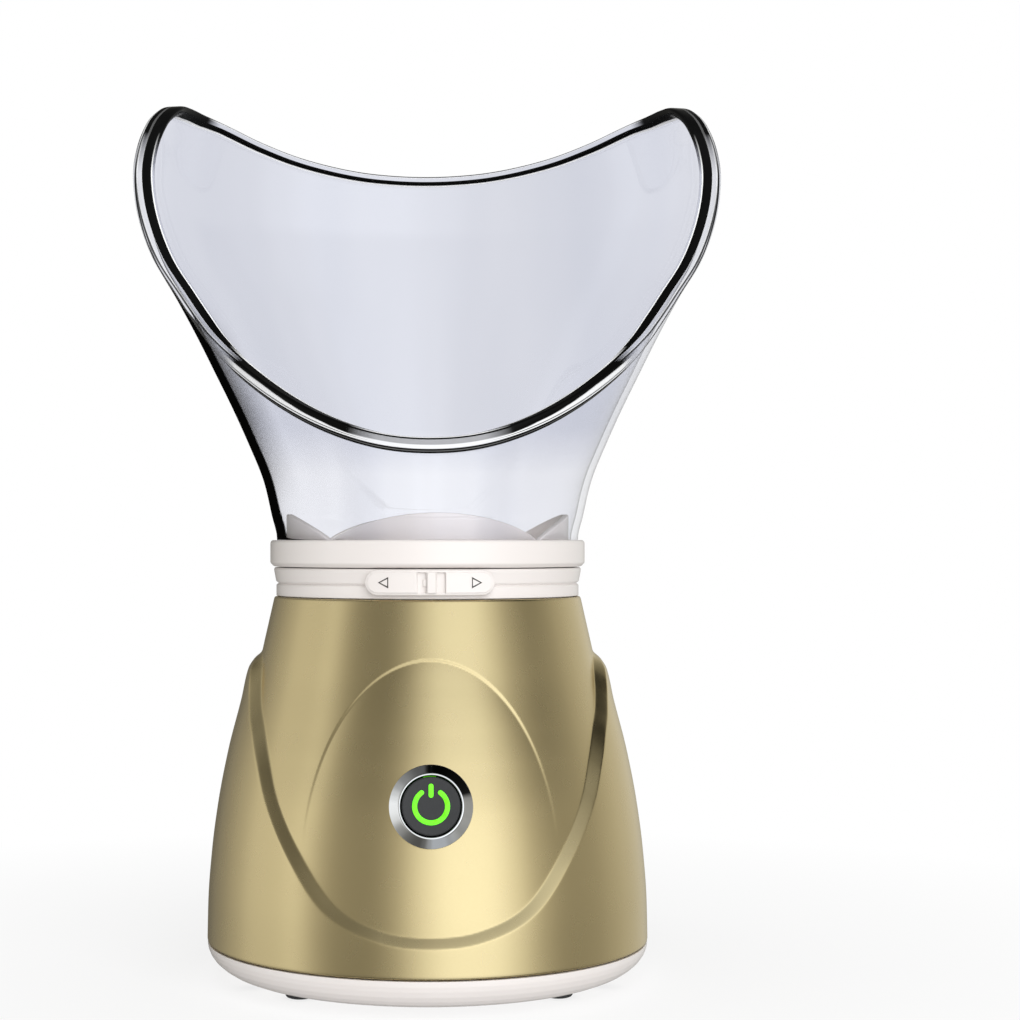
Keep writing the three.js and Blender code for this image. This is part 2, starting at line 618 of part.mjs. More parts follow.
add('cord_tail', wire(new THREE.CatmullRomCurve3(tailPoints, false, 'centripetal'), CORD_D / 2, 22, 8), M.black);

// ---- Plug: made about +Z from the bulb to the pins, then laid on the surface ----
const PLUG_FRAME = new THREE.Matrix4().makeRotationZ(TAIL_TO)
  .multiply(new THREE.Matrix4().makeRotationY(Math.PI / 2 - PLUG_TILT));
PLUG_FRAME.setPosition(PLUG_START);
const onPlug = (g) => g.clone().applyMatrix4(PLUG_FRAME);
add('plug_body', onPlug(ring([
  [0, 0.4], [4.6, 0.4], [7.2, 2.4], [8.0, 5.6], [7.2, 9.0], [5.9, 11.0], [6.6, 12.0], [7.4, 22.0], [9.4, 28.0],
  [14.0, 31.6], [17.6, 33.4], [18.4, 35.0], [18.4, 45.6], [17.8, 46.4], [0, 46.4],
], 22)), M.black);
for (const [name, side] of [['left', -1], ['right', 1]]) {
  const turn = (g) => onPlug(at(g.rotateZ(side * rad(30)), side * 6.9, 0, 0));
  add(`plug_sleeve_${name}`, turn(at(block(1.9, 6.6, 8.2), 0, 0, 50.9)), M.black);
  add(`plug_pin_${name}`, turn(at(block(1.6, 6.3, 8.6), 0, 0, 59.7)), M.chrome);
}

export default group;
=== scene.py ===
# Facial steamer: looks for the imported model. Millimetres in the tables, metres in Blender.
import math

import bmesh
import bpy
import numpy as np
from mathutils import Matrix, Vector


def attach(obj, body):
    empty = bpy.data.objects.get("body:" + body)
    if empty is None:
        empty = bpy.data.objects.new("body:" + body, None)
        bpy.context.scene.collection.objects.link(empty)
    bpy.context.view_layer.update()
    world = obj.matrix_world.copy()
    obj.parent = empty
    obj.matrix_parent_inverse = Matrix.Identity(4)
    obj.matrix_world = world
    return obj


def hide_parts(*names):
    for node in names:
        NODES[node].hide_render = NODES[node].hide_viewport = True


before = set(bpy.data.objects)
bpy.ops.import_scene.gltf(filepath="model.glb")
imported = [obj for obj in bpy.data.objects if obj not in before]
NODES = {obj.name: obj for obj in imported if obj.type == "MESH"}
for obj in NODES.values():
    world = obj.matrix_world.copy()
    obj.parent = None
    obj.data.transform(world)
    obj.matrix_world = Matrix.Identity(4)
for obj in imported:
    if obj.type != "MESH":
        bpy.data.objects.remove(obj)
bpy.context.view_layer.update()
MM = 0.001

# ---- Camera ----
CAMERA_AT = (-0.01084, -0.6899, 0.1427)
camera = bpy.data.objects.new("camera", bpy.data.cameras.new("camera"))
bpy.context.scene.collection.objects.link(camera)
camera.location = CAMERA_AT
camera.rotation_euler = (math.radians(90), 0, -math.atan2(-CAMERA_AT[0], -CAMERA_AT[1]))
camera.data.lens = 73.8
camera.data.sensor_width = 36
camera.data.shift_x = 0.0809
camera.data.shift_y = 0.0304
camera.data.clip_start = 0.01
camera.data.clip_end = 20
bpy.context.scene.camera = camera
bpy.context.scene.view_settings.view_transform = "Standard"


# ---- Tables and the functions that shape the body and the mask ----
# The body outside the U-shaped band and inside it: height, radius.
SIDE = [
    (12.8, 72.2), (26, 71.9), (42, 70.7), (58, 68.6), (75, 65.3), (91, 61.2),
    (101, 58.9), (104, 57.1), (107, 54.3), (124.6, 50.3),
]
FRONT = [
    (12.8, 71.0), (26, 70.4), (42, 68.85), (60, 66.0), (75, 62.45), (85, 59.8), (98, 56.4),
    (107, 54.3), (124.6, 50.3),
]
# The band's line: degrees from the front, height.
U_EDGE = [
    (0, 23.4), (12, 25), (26, 33), (37, 47.5), (48, 64), (54, 74), (60, 82.5), (66, 89), (70.5, 94.5),
    (75, 100.5), (80, 105), (90, 107),
]
# The mask's half width at each height, then its rim: degrees from the front, height.
MASK_SIDE = [
    (143.3, 49.8), (151, 51.5), (163, 54.4), (174.5, 59.1), (186, 64.3), (198, 70.2), (210, 76.2),
    (222, 82.7), (233, 89), (245, 93.3), (257, 95.6), (265, 96.0), (273, 95.1), (281, 93.3), (290, 91),
]
RIM = [
    (0, 174.3), (14, 175.4), (28, 179), (42, 185), (55, 193), (64, 200.3), (70, 206), (74, 211),
    (77.5, 218.5), (80.5, 228.5), (83.5, 241.5), (86, 254), (88.5, 265.5), (91, 275), (94, 282.2),
    (98, 287.2), (102, 289.6), (106, 290), (111, 289.4), (120, 287), (130, 283.1), (140, 279.5),
    (150, 276.9), (160, 275.1), (170, 274.2), (180, 273.9),
]


def smooth_table(table, flowing=False):
    """A cubic through the table's points: monotone, or flowing on level from both ends."""
    x = np.array([p[0] for p in table], float)
    y = np.array([p[1] for p in table], float)
    d = np.diff(y) / np.diff(x)
    inner = np.zeros(len(d) - 1)
    same = d[:-1] * d[1:] > 0
    inner[same] = 2 * d[:-1][same] * d[1:][same] / (d[:-1][same] + d[1:][same])
    m = np.concatenate([[d[0]], inner, [d[-1]]])
    if flowing:
        step = np.diff(x)
        m[1:-1] = (d[:-1] * step[1:] + d[1:] * step[:-1]) / (step[:-1] + step[1:])
        m[0] = m[-1] = 0

    def value(q):
        q = np.clip(np.asarray(q, float), x[0], x[-1])
        i = np.clip(np.searchsorted(x, q, side="right") - 1, 0, len(x) - 2)
        h = x[i + 1] - x[i]
        t = (q - x[i]) / h
        a = (1 + 2 * t) * (1 - t) ** 2 * y[i] + t * (1 - t) ** 2 * h * m[i]
        return a + t * t * (3 - 2 * t) * y[i + 1] + t * t * (t - 1) * h * m[i + 1]

    return value


side = smooth_table(SIDE)
front = smooth_table(FRONT)
u_edge = smooth_table(U_EDGE, flowing=True)
mask_side = smooth_table(MASK_SIDE, flowing=True)
rim_height = smooth_table(RIM, flowing=True)


def soft_step(x, corner=0.07):
    """A straight ramp from 0 to 1 whose two corners are slightly rounded."""
    low = 0.5 * (x + np.sqrt(x * x + corner * corner))
    high = 0.5 * (x - 1 + np.sqrt((x - 1) ** 2 + corner * corner))
    return np.clip(low - high, 0, 1)


# The thumb scoop: its lowest and highest point, half width in degrees, the step at its outline and the
# gentle rise inside it. AROUND_MM turns degrees round the front into millimetres.
ARCH_Z0, ARCH_Z1, ARCH_HALF = 44.0, 107.0, 35.6
SCOOP_WALL, SCOOP_STEP, SCOOP_RISE, SCOOP_FADE = 1.1, 0.75, 0.42, 9
AROUND_MM = math.radians(1) * 56
# The band's bevel, and the radius at which its slope is measured.
U_BEVEL = 3.2
U_RADIUS = 62


def arch_half(z):
    u = np.clip((z - ARCH_Z0) / (ARCH_Z1 - ARCH_Z0), 0, 1)
    return ARCH_HALF * (1 - u ** 2.8) ** 0.52


ARCH_T = np.linspace(0, 1, 260) ** 1.5
ARCH_LINE_Z = ARCH_Z1 - (ARCH_Z1 - ARCH_Z0) * ARCH_T
ARCH_LINE_S = arch_half(ARCH_LINE_Z) * AROUND_MM


def scoop_depth(t, z):
    """How deep the thumb scoop is at degrees from the front and height."""
    out = np.zeros_like(z)
    pick = (t < arch_half(z)) & (z > 49) & (z < ARCH_Z1)
    s_in, z_in = t[pick] * AROUND_MM, z[pick]
    near = np.full(s_in.shape, 1e9)
    for a_s, a_z, b_s, b_z in zip(ARCH_LINE_S[:-1], ARCH_LINE_Z[:-1], ARCH_LINE_S[1:], ARCH_LINE_Z[1:]):
        ds, dz = b_s - a_s, b_z - a_z
        k = np.clip(((s_in - a_s) * ds + (z_in - a_z) * dz) / (ds * ds + dz * dz), 0, 1)
        near = np.minimum(near, (s_in - a_s - k * ds) ** 2 + (z_in - a_z - k * dz) ** 2)
    inside = np.sqrt(near)
    wall = np.clip(inside / SCOOP_WALL, 0, 1)
    depth = (SCOOP_STEP * np.exp(-inside / SCOOP_FADE) - SCOOP_RISE) * np.clip((z_in - 50) / 45, 0, 1)
    out[pick] = depth * wall * wall * (3 - 2 * wall)
    return out


def body_radius(theta, z):
    """The outer surface's radius at degrees from the front and height."""
    theta = np.where(theta > 180, theta - 360, theta)
    t = np.abs(theta)
    folded = np.where(t > 90, 180 - t, t)
    slope = (u_edge(folded + 0.5) - u_edge(folded - 0.5)) / math.radians(1) / U_RADIUS
    away = (u_edge(folded) - z) / np.hypot(1, slope)
    raised = soft_step((away + U_BEVEL / 2) / U_BEVEL)
    return front(z) + (side(z) - front(z)) * raised - scoop_depth(t, z)


# ---- Mesh helpers ----
def link(mesh, name):
    obj = bpy.data.objects.new(name, mesh)
    bpy.context.scene.collection.objects.link(obj)
    return obj


def area_normals(mesh):
    """Vertex normals weighted by face area, so wide flats stay flat between small rounds."""
    n = len(mesh.vertices)
    co = np.empty(n * 3)
    mesh.vertices.foreach_get("co", co)
    co = co.reshape(-1, 3)
    mesh.calc_loop_triangles()
    tri = np.empty(len(mesh.loop_triangles) * 3, int)
    mesh.loop_triangles.foreach_get("vertices", tri)
    tri = tri.reshape(-1, 3)
    cross = np.cross(co[tri[:, 1]] - co[tri[:, 0]], co[tri[:, 2]] - co[tri[:, 0]])
    out = np.zeros((n, 3))
    for k in range(3):
        np.add.at(out, tri[:, k], cross)
    return out / np.maximum(np.linalg.norm(out, axis=1), 1e-20)[:, None]


def set_normals(mesh, normals):
    mesh.shade_smooth()
    mesh.normals_split_custom_set_from_vertices([tuple(v) for v in normals])


def make(name, verts, faces, material, place=None, normals=None):
    """A Blender object from points in millimetres."""
    verts = np.asarray(verts, float).reshape(-1, 3)
    if place is not None:
        m = np.array(place)
        verts = verts @ m[:3, :3].T + m[:3, 3]
    mesh = bpy.data.meshes.new(name)
    mesh.from_pydata((verts * MM).tolist(), [], faces)
    bm = bmesh.new()
    bm.from_mesh(mesh)
    if normals is None:
        bmesh.ops.remove_doubles(bm, verts=bm.verts, dist=1e-7)
        bmesh.ops.dissolve_degenerate(bm, edges=bm.edges, dist=1e-8)
        bmesh.ops.recalc_face_normals(bm, faces=bm.faces)
    bm.to_mesh(mesh)
    bm.free()
    mesh.update()
    mesh.materials.append(material)
    set_normals(mesh, area_normals(mesh) if normals is None else normals)
    return link(mesh, name)


def rounded(profile, radius, steps, closed):
    """A profile with its corners rounded, apart from points on the axis and the ends of an open one."""
    pts = [np.array(p, float) for p in profile]
    n = len(pts)
    out = []
    for i, p in enumerate(pts):
        ends = not closed and i in (0, n - 1)
        if ends or p[0] < 1e-6:
            out.append(p)
            continue
        a = pts[i - 1] - p
        b = pts[(i + 1) % n] - p
        la, lb = np.linalg.norm(a), np.linalg.norm(b)
        d = min(radius, 0.45 * la, 0.45 * lb)
        p0, p1 = p + a / la * d, p + b / lb * d
        for k in range(steps + 1):
            t = k / steps
            out.append((1 - t) ** 2 * p0 + 2 * t * (1 - t) * p + t * t * p1)
    return out


def ring_faces(count, n, closed=True):
    """Faces between rows of n points each; a closed section also joins its last row to its first."""
    faces = []
    for j in range(count if closed else count - 1):
        k = (j + 1) % count
        for i in range(n):
            i2 = (i + 1) % n
            faces.append((j * n + i, j * n + i2, k * n + i2, k * n + i))
    return faces


def grid_quads(count, n):
    """The same faces as one array, for large meshes closed both ways."""
    j, i = np.meshgrid(np.arange(count), np.arange(n), indexing="ij")
    k, i2 = (j + 1) % count, (i + 1) % n
    return np.stack([j * n + i, j * n + i2, k * n + i2, k * n + i], axis=-1).reshape(-1, 4)


def lathe(name, profile, material, segments, radius, steps=4, place=None):
    """A turned piece about +Z from (radius, height) points in millimetres."""
    closed = profile[0][0] > 0 and profile[-1][0] > 0
    pts = rounded(profile, radius, steps, closed) if radius else [np.array(p, float) for p in profile]
    n = segments
    a = np.arange(n) * 2 * math.pi / n
    rows = [np.stack([r * np.sin(a), -r * np.cos(a), np.full(n, z)], axis=1) for r, z in pts]
    return make(name, np.concatenate(rows), ring_faces(len(rows), n, closed), material, place)


def boolean(obj, cutters, operation="DIFFERENCE"):
    """Cuts the cutters away from a piece, or joins them to it, and drops them."""
    for c in cutters:
        mod = obj.modifiers.new("cut", "BOOLEAN")
        mod.operation = operation
        mod.solver = "EXACT"
        mod.object = c
    bpy.context.view_layer.update()
    graph = bpy.context.evaluated_depsgraph_get()
    mesh = bpy.data.meshes.new_from_object(obj.evaluated_get(graph))
    obj.modifiers.clear()
    old = obj.data
    obj.data = mesh
    bpy.data.meshes.remove(old)
    for c in cutters:
        data = c.data
        bpy.data.objects.remove(c)
        bpy.data.meshes.remove(data)
    set_normals(obj.data, area_normals(obj.data))


def rod(r, z0, z1, x, y, n):
    """An upright round cutter."""
    profile = [(0, z0), (r, z0), (r, z1), (0, z1)]
    return lathe("cutter", profile, None, n, 0, place=Matrix.Translation((x, y, 0)))


def bevelled_block(name, size, centre, material, place=None, bevel=0.3, segments=3):
    """A block with rounded edges, in millimetres."""
    bm = bmesh.new()
    bmesh.ops.create_cube(bm, size=1.0)
    for v in bm.verts:
        v.co = Vector([v.co[k] * size[k] for k in range(3)])
    bmesh.ops.bevel(bm, geom=bm.edges[:], offset=bevel, segments=segments, profile=0.5, affect="EDGES")
    for v in bm.verts:
        v.co = v.co + Vector(centre)
        if place is not None:
            v.co = place @ v.co
        v.co = v.co * MM
    mesh = bpy.data.meshes.new(name)
    bm.to_mesh(mesh)
    bm.free()
    mesh.materials.append(material)
    set_normals(mesh, area_normals(mesh))
    return link(mesh, name)


def join(first, *others):
    """Joins other pieces into the first, each with its own finish."""
    bm = bmesh.new()
    bm.from_mesh(first.data)
    slots = list(first.data.materials)
    for o in others:
        for m in o.data.materials:
            if m not in slots:
                slots.append(m)
                first.data.materials.append(m)
        start = len(bm.faces)
        bm.from_mesh(o.data)
        bm.faces.ensure_lookup_table()
        for f in bm.faces[start:]:
            f.material_index = slots.index(o.data.materials[f.material_index])
        mesh = o.data
        bpy.data.objects.remove(o)
        bpy.data.meshes.remove(mesh)
    bm.to_mesh(first.data)
    bm.free()
    set_normals(first.data, area_normals(first.data))


def settle(obj, body, slot, *nodes):
    """Puts a finished piece on its body, in place of its CAD nodes."""
    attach(obj, body)
    if nodes:
        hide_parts(*nodes)


# ---- Material helpers ----
class Graph:
    """Fills one shader tree with nodes."""

    def __init__(self, tree):
        self.tree = tree
        tree.nodes.clear()

    def node(self, kind, inputs=None, **props):
        n = self.tree.nodes.new("ShaderNode" + kind)
        for key, value in props.items():
            setattr(n, key, value)
        for key, value in (inputs or {}).items():
            self.put(n.inputs[key], value)
        return n

    def put(self, socket, value):
        if isinstance(value, bpy.types.NodeSocket):
            self.tree.links.new(value, socket)
        else:
            socket.default_value = value

    def coords(self):
        return self.node("TexCoord").outputs["Object"]

    def noise(self, scale, detail=3.0, vector=None):
        return self.node("TexNoise", {
            "Vector": vector or self.coords(), "Scale": scale, "Detail": detail, "Roughness": 0.55,
        }).outputs["Fac"]

    def span(self, value, low, high, from_low=0.3, from_high=0.7):
        """Takes a range of a value to another one; the preset range is that of a noise."""
        return self.node("MapRange", {
            "Value": value, "From Min": from_low, "From Max": from_high, "To Min": low, "To Max": high,
        }).outputs["Result"]

    def mix(self, factor, a, b):
        n = self.node("Mix", data_type="RGBA")
        self.put(n.inputs[0], factor)
        self.put(n.inputs[6], a)
        self.put(n.inputs[7], b)
        return n.outputs[2]

    def calc(self, a, b, operation="MULTIPLY"):
        """One operation on two values, their product if no other is named."""
        n = self.node("Math", operation=operation)
        self.put(n.inputs[0], a)
        self.put(n.inputs[1], b)
        return n.outputs[0]


class Paint(Graph):
    """Builds one node material."""

    def __init__(self, name):
        self.mat = bpy.data.materials.new(name)
        self.mat.use_nodes = True
        super().__init__(self.mat.node_tree)

    def finish(self, shader):
        self.node("OutputMaterial", {"Surface": shader})
        return self.mat


GRAIN_DEPTH = 0.00002


def surface(name, color, rough, metallic=0.0, vary=0.05, cloud=60, grain=2500, bump=0.1,
            rough_vary=0.04, coat=0.0, coat_rough=0.1, sub=0.0, scratch=0.0, spec=0.5):
    """A procedural finish: clouded colour, uneven roughness and a fine grain."""
    p = Paint(name)
    clouds = p.noise(cloud, 4)
    dark = (*[c * (1 - vary) for c in color], 1)
    light = (*[min(1, c * (1 + vary)) for c in color], 1)
    base = p.mix(p.span(clouds, 0, 1), dark, light)
    height = p.noise(grain, 2)
    if scratch:
        stretch = p.node("Mapping", {"Vector": p.coords(), "Scale": (1, 1, 30)}).outputs[0]
        height = p.calc(height, p.noise(scratch, 3, vector=stretch), "ADD")
    bumped = p.node("Bump", {"Height": height, "Strength": bump, "Distance": GRAIN_DEPTH}).outputs["Normal"]
    shader = p.node("BsdfPrincipled", {
        "Base Color": base, "Metallic": metallic, "IOR": 1.5,
        "Roughness": p.span(p.noise(cloud * 3, 3), rough - rough_vary, rough + rough_vary),
        "Coat Weight": coat, "Coat Roughness": coat_rough, "Normal": bumped,
        "Specular IOR Level": spec,
    })
    if sub:
        shader.inputs["Subsurface Weight"].default_value = sub
        shader.inputs["Subsurface Radius"].default_value = (1.0, 0.9, 0.8)
        shader.inputs["Subsurface Scale"].default_value = 0.002
    return p.finish(shader.outputs["BSDF"])


def gold_paint():
    """Pearl-gold lacquer: a metallic coat with fine flake under a thin clear gloss."""
    p = Paint("pearl_gold")
    where = p.coords()
    clouds = p.noise(30, 3, vector=where)
    base = p.mix(p.span(clouds, 0, 1), (0.762, 0.625, 0.342, 1), (0.784, 0.645, 0.355, 1))
    flake = p.node("TexVoronoi", {"Vector": where, "Scale": 4200.0}).outputs["Color"]
    glint = p.node("SeparateColor", {0: flake}).outputs[0]
    flaked = p.mix(p.calc(glint, 0.15), base, (0.86, 0.74, 0.45, 1))
    grain = p.noise(1400, 2, vector=where)
    bumped = p.node("Bump", {"Height": grain, "Strength": 0.01, "Distance": GRAIN_DEPTH}).outputs["Normal"]
    shader = p.node("BsdfPrincipled", {
        "Base Color": flaked, "Metallic": 1.0,
        "Roughness": p.span(p.noise(120, 3, vector=where), 0.262, 0.278),
        "Normal": bumped, "Coat Weight": 0.05, "Coat Roughness": 0.08,
    })
    return p.finish(shader.outputs["BSDF"])


# Painted reflections and refractions: black and white lines painted along the thick rim, from its outer face
# over the edge to its inner face.
# Each step holds from its place to the next one: place, shade, how much it covers.
# RIM_GAP is the painted white highlight gap in RIM_FRONT that widens towards the sides.
RIM_GAP = (-2.95, -2.65)
RIM_MIDDLE = [
    (-4.95, 0.004, 1), (-4.4, 0.14, 1), (-4.15, 0.004, 1), (-3.6, 0.95, 0.6), (-2.4, 0.30, 0.75),
    (-0.8, 0.003, 1), (-0.3, 0.95, 0.9), (0.1, 0, 0),
]
RIM_FRONT = [
    (-4.95, 0.004, 1), (-4.3, 0.10, 1), (-4.1, 0.004, 1), (-3.5, 0.95, 0.8), (-3.15, 0.01, 1),
    (RIM_GAP[0], 0.95, 0.8), (RIM_GAP[1], 0.003, 1), (3.4, 0.95, 0.9), (5.6, 0, 0),
]
RIM_SIDE = [
    (-5.1, 0.01, 1), (-4.5, 0, 0), (-0.25, 0.01, 0.9), (0.3, 0.9, 0.3), (0.8, 0, 0), (2.8, 0.95, 0.5),
    (3.0, 0.003, 1), (6.8, 0.95, 0.95), (7.4, 0, 0),
]
RIM_HORN = [
    (-3.4, 0.006, 1), (-0.35, 0.6, 0.9), (0.0, 0.005, 1), (2.0, 0.09, 1), (3.4, 0.005, 1),
    (12.9, 0.95, 0.95), (13.6, 0, 0),
]
RIM_BACK = [
    (6.6, 0.01, 1), (8.5, 0.9, 0.35), (9.4, 0, 0), (11.1, 0.003, 1), (13.0, 0.95, 0.95), (13.6, 0, 0),
]
# The places run over this range; one step turns into the next over twice STRIPE_SOFT.
STRIPE_LOW, STRIPE_SPAN = -7.0, 22.0
STRIPE_SOFT = 0.06


def clear_plastic():
    """Clear moulded plastic: tinted through, glossy at its faces and dark where its thick edges turn, with
    painted reflection lines along its rim and painted shade in places.
    """
    p = Paint("clear_mask")

    def field(name):
        return p.node("Attribute", attribute_name=name).outputs["Fac"]

    def painted_rim_lines(steps, place="stripe"):
        """One table of painted reflection lines as a colour ramp: shade in red, cover in green."""
        ramp = p.node("ValToRGB", {0: field(place)})
        ends = ramp.color_ramp.elements
        ends[0].position, ends[1].position = 0, 1
        ends[0].color = ends[1].color = (0, 0, 0, 1)
        before = (steps[0][1], 0)
        for start, *after in steps:
            for shift, pair in ((-STRIPE_SOFT, before), (STRIPE_SOFT, after)):
                ends.new((start + shift - STRIPE_LOW) / STRIPE_SPAN).color = (*pair, 0, 1)
            before = after
        return ramp.outputs["Color"]

    # The rim's dark and light lines are painted reflections and refractions, blended by zone round the mask.
    painted_lines = p.mix(field("middle"), painted_rim_lines(RIM_FRONT, "front_stripe"), painted_rim_lines(RIM_MIDDLE))
    painted_lines = p.mix(field("side"), painted_lines, painted_rim_lines(RIM_SIDE))
    painted_lines = p.mix(field("back"), painted_lines, painted_rim_lines(RIM_BACK))
    painted_lines = p.mix(field("horn"), painted_lines, painted_rim_lines(RIM_HORN))
    shade, cover = p.node("SeparateColor", {0: painted_lines}).outputs[:2]
    facing = p.node("LayerWeight", {"Blend": 0.5}).outputs["Facing"]
    # Turned edges go dark with the facing; on the left of the neck the attribute adds painted shade.
    turned = p.calc(facing, p.calc(field("left_edge_painted_shade"), 0.4), "ADD")
    steep = p.span(turned, 0, 1, 1.0, 1.025)
    # The dark outline is painted lighter on the right, and the left inner face gets painted shade.
    outline = p.calc(p.span(facing, 0, 0.75, 0.84, 0.95), field("outline"))
    painted_left_shade = p.calc(p.span(facing, 0, 0.6, 0.42, 0.8), field("painted_left_shade"))
    mirror = p.calc(p.calc(p.calc(facing, 5.0, "POWER"), 0.4), 0.045, "ADD")
    streak = p.node("Mapping", {"Vector": p.coords(), "Scale": (1, 1, 0.15)}).outputs[0]
    uneven = p.noise(25, 2, vector=streak)
    tint = p.mix(p.span(uneven, 0, 1), (0.822, 0.834, 0.884, 1), (0.856, 0.865, 0.908, 1))
    # The tint is partly the plastic's own and partly painted light and shade: full in the back wall above the
    # neck, nearly clear lower down, and a little stronger in two upright stretches of painted shade at the
    # front of the neck.
    through = p.mix(field("tint_with_painted_shade"), (0.972, 0.975, 0.992, 1), tint)
    through = p.mix(outline, through, (0.10, 0.10, 0.11, 1))
    through = p.mix(painted_left_shade, through, (0.12, 0.12, 0.13, 1))
    through = p.mix(steep, through, (0.002, 0.002, 0.002, 1))
    clear = p.node("BsdfTransparent", {"Color": through}).outputs[0]
    wavy = p.node("Bump", {"Height": p.noise(60, 1), "Strength": 0.02, "Distance": 0.0002}).outputs["Normal"]
    gloss = p.node("BsdfGlossy", {"Color": (1, 1, 1, 1), "Roughness": 0.03, "Normal": wavy}).outputs[0]
    kept = p.calc(mirror, p.calc(1.0, p.calc(steep, 0.95), "SUBTRACT"))
    skin = p.node("MixShader", {0: kept, 1: clear, 2: gloss}).outputs[0]
    # The painted lines: a grey from near black to near white, laid over the clear skin where they cover.
    grey = p.node("CombineColor", {0: shade, 1: shade, 2: shade}).outputs[0]
    painted_line_shader = p.node("BsdfPrincipled", {
        "Base Color": grey, "Roughness": 0.12, "Specular IOR Level": 0.08,
    }).outputs[0]
    return p.finish(p.node("MixShader", {0: cover, 1: skin, 2: painted_line_shader}).outputs[0])


def polished_chrome():
    """Chrome with only a trace of unevenness."""
    p = Paint("bezel_chrome")
    bright = p.mix(p.span(p.noise(200, 4), 0, 1), (0.86, 0.87, 0.89, 1), (0.90, 0.91, 0.93, 1))
    shader = p.node("BsdfPrincipled", {
        "Base Color": bright, "Metallic": 1.0, "Roughness": p.span(p.noise(600, 3), 0.04, 0.06),
    })
    return p.finish(shader.outputs["BSDF"])


def lit_green():
    """Green plastic lit from behind."""
    p = Paint("icon_green")
    glow = p.mix(p.span(p.noise(500, 2), 0, 1), (0.12, 0.84, 0.003, 1), (0.16, 0.92, 0.004, 1))
    shader = p.node("BsdfPrincipled", {
        "Base Color": glow, "Roughness": 0.35, "Emission Color": glow, "Emission Strength": 0.3,
    })
    return p.finish(shader.outputs["BSDF"])


GOLD = gold_paint()
CLEAR = clear_plastic()
BEZEL = polished_chrome()
GREEN = lit_green()
WHITE = surface("white_abs", (0.81, 0.76, 0.735), 0.3, vary=0.004, cloud=25, grain=1800, bump=0.02,
                rough_vary=0.01, sub=0.05, coat=0.5, coat_rough=0.12)
TANK = surface("tank_pp", (0.76, 0.74, 0.71), 0.42, vary=0.02, cloud=50, grain=1500, bump=0.2)
BUTTON = surface("button_grey", (0.040, 0.041, 0.043), 0.42, vary=0.06, cloud=300, grain=5200, bump=0.3,
                 spec=0.2)
RUBBER = surface("foot_rubber", (0.03, 0.03, 0.031), 0.75, vary=0.15, cloud=150, grain=3000, bump=0.5)
SILICONE = surface("grey_silicone", (0.56, 0.57, 0.58), 0.6, vary=0.04, cloud=120, bump=0.3)
ALLOY = surface("pressed_alloy", (0.62, 0.63, 0.65), 0.38, 1.0, bump=0.15, scratch=300)
STEEL = surface("zinc_steel", (0.55, 0.55, 0.56), 0.34, 1.0, vary=0.08, cloud=300, grain=3000, bump=0.15,
                scratch=500)
BOARD = surface("board_green", (0.02, 0.11, 0.05), 0.42, vary=0.18, cloud=400, bump=0.3, coat=0.3)
BLACK = surface("black_nylon", (0.018, 0.018, 0.019), 0.5, vary=0.15, cloud=150, bump=0.4)
PVC = surface("black_pvc", (0.012, 0.012, 0.013), 0.36, vary=0.2, cloud=120, grain=2200, bump=0.25,
              coat=0.15, coat_rough=0.3)
PIN = surface("nickel_pin", (0.66, 0.65, 0.62), 0.22, 1.0, vary=0.06, cloud=250, grain=3000, scratch=400)
CERAMIC = surface("white_ceramic", (0.70, 0.67, 0.60), 0.6, cloud=300, bump=0.4)
WIRE = surface("red_lead", (0.28, 0.02, 0.015), 0.45, vary=0.12, cloud=200, bump=0.2)
PRINT = surface("arrow_print", (0.05, 0.045, 0.042), 0.5, vary=0.08, cloud=300, grain=3000)

# ---- Mains cord: one spline from the clamp, to the surface, round the coil and out to the plug ----
CORD_D = 5.6
CZ = 2.9
CORD_Z = 20.0
# The coil's middle, its radii where the cord comes in, at the inner turn and where it leaves, and the angles
# at which it stops winding in, has climbed onto the lower turns, and leaves.
COIL = (-39.9, 152.0)
COIL_IN_R, COIL_INNER_R, COIL_LEAVE_R = 39.9, 24.66, 36.9
COIL_TURNED, COIL_CLIMBED, COIL_LEFT = 900, 960, 1740
UPPER_Z = 8.6
BEND_R = 23.0
BEND_Y = 94.0
BEND_A = math.acos(1 - (CORD_Z - CZ) / 2 / BEND_R)
FLOOR_Y = BEND_Y + 2 * BEND_R * math.sin(BEND_A)
route = [(0, y, CORD_Z) for y in (48, 60, 72, 84, BEND_Y)]
for i in range(1, 6):
    a = BEND_A * i / 5
    route.append((0, BEND_Y + BEND_R * math.sin(a), CORD_Z - BEND_R * (1 - math.cos(a))))
for i in range(4, -1, -1):
    a = BEND_A * i / 5
    route.append((0, FLOOR_Y - BEND_R * math.sin(a), CZ + BEND_R * (1 - math.cos(a))))
route.append((0, (FLOOR_Y + COIL[1]) / 2, CZ))
for a in range(0, COIL_LEFT + 20, 20):
    if a <= COIL_TURNED:
        r, z = COIL_IN_R + (COIL_INNER_R - COIL_IN_R) * a / COIL_TURNED, CZ
    elif a <= COIL_CLIMBED:
        climbed = (a - COIL_TURNED) / (COIL_CLIMBED - COIL_TURNED)
        r, z = COIL_INNER_R, CZ + (UPPER_Z - CZ) * (1 - math.cos(math.pi * climbed)) / 2
    else:
        unwound = (a - COIL_CLIMBED) / (COIL_LEFT - COIL_CLIMBED)
        r, z = COIL_INNER_R + (COIL_LEAVE_R - COIL_INNER_R) * unwound, UPPER_Z
    t = math.radians(a)
    route.append((COIL[0] + r * math.cos(t), COIL[1] + r * math.sin(t), z))
TAIL_FROM = math.radians(30)
TAIL_TO = math.radians(-65)
TAIL_R = 24
leave = route[-1]


def along(p, angle, d, z):
    """The point at a distance from another one in a direction, at a height."""
    return (p[0] + d * math.cos(angle), p[1] + d * math.sin(angle), z)


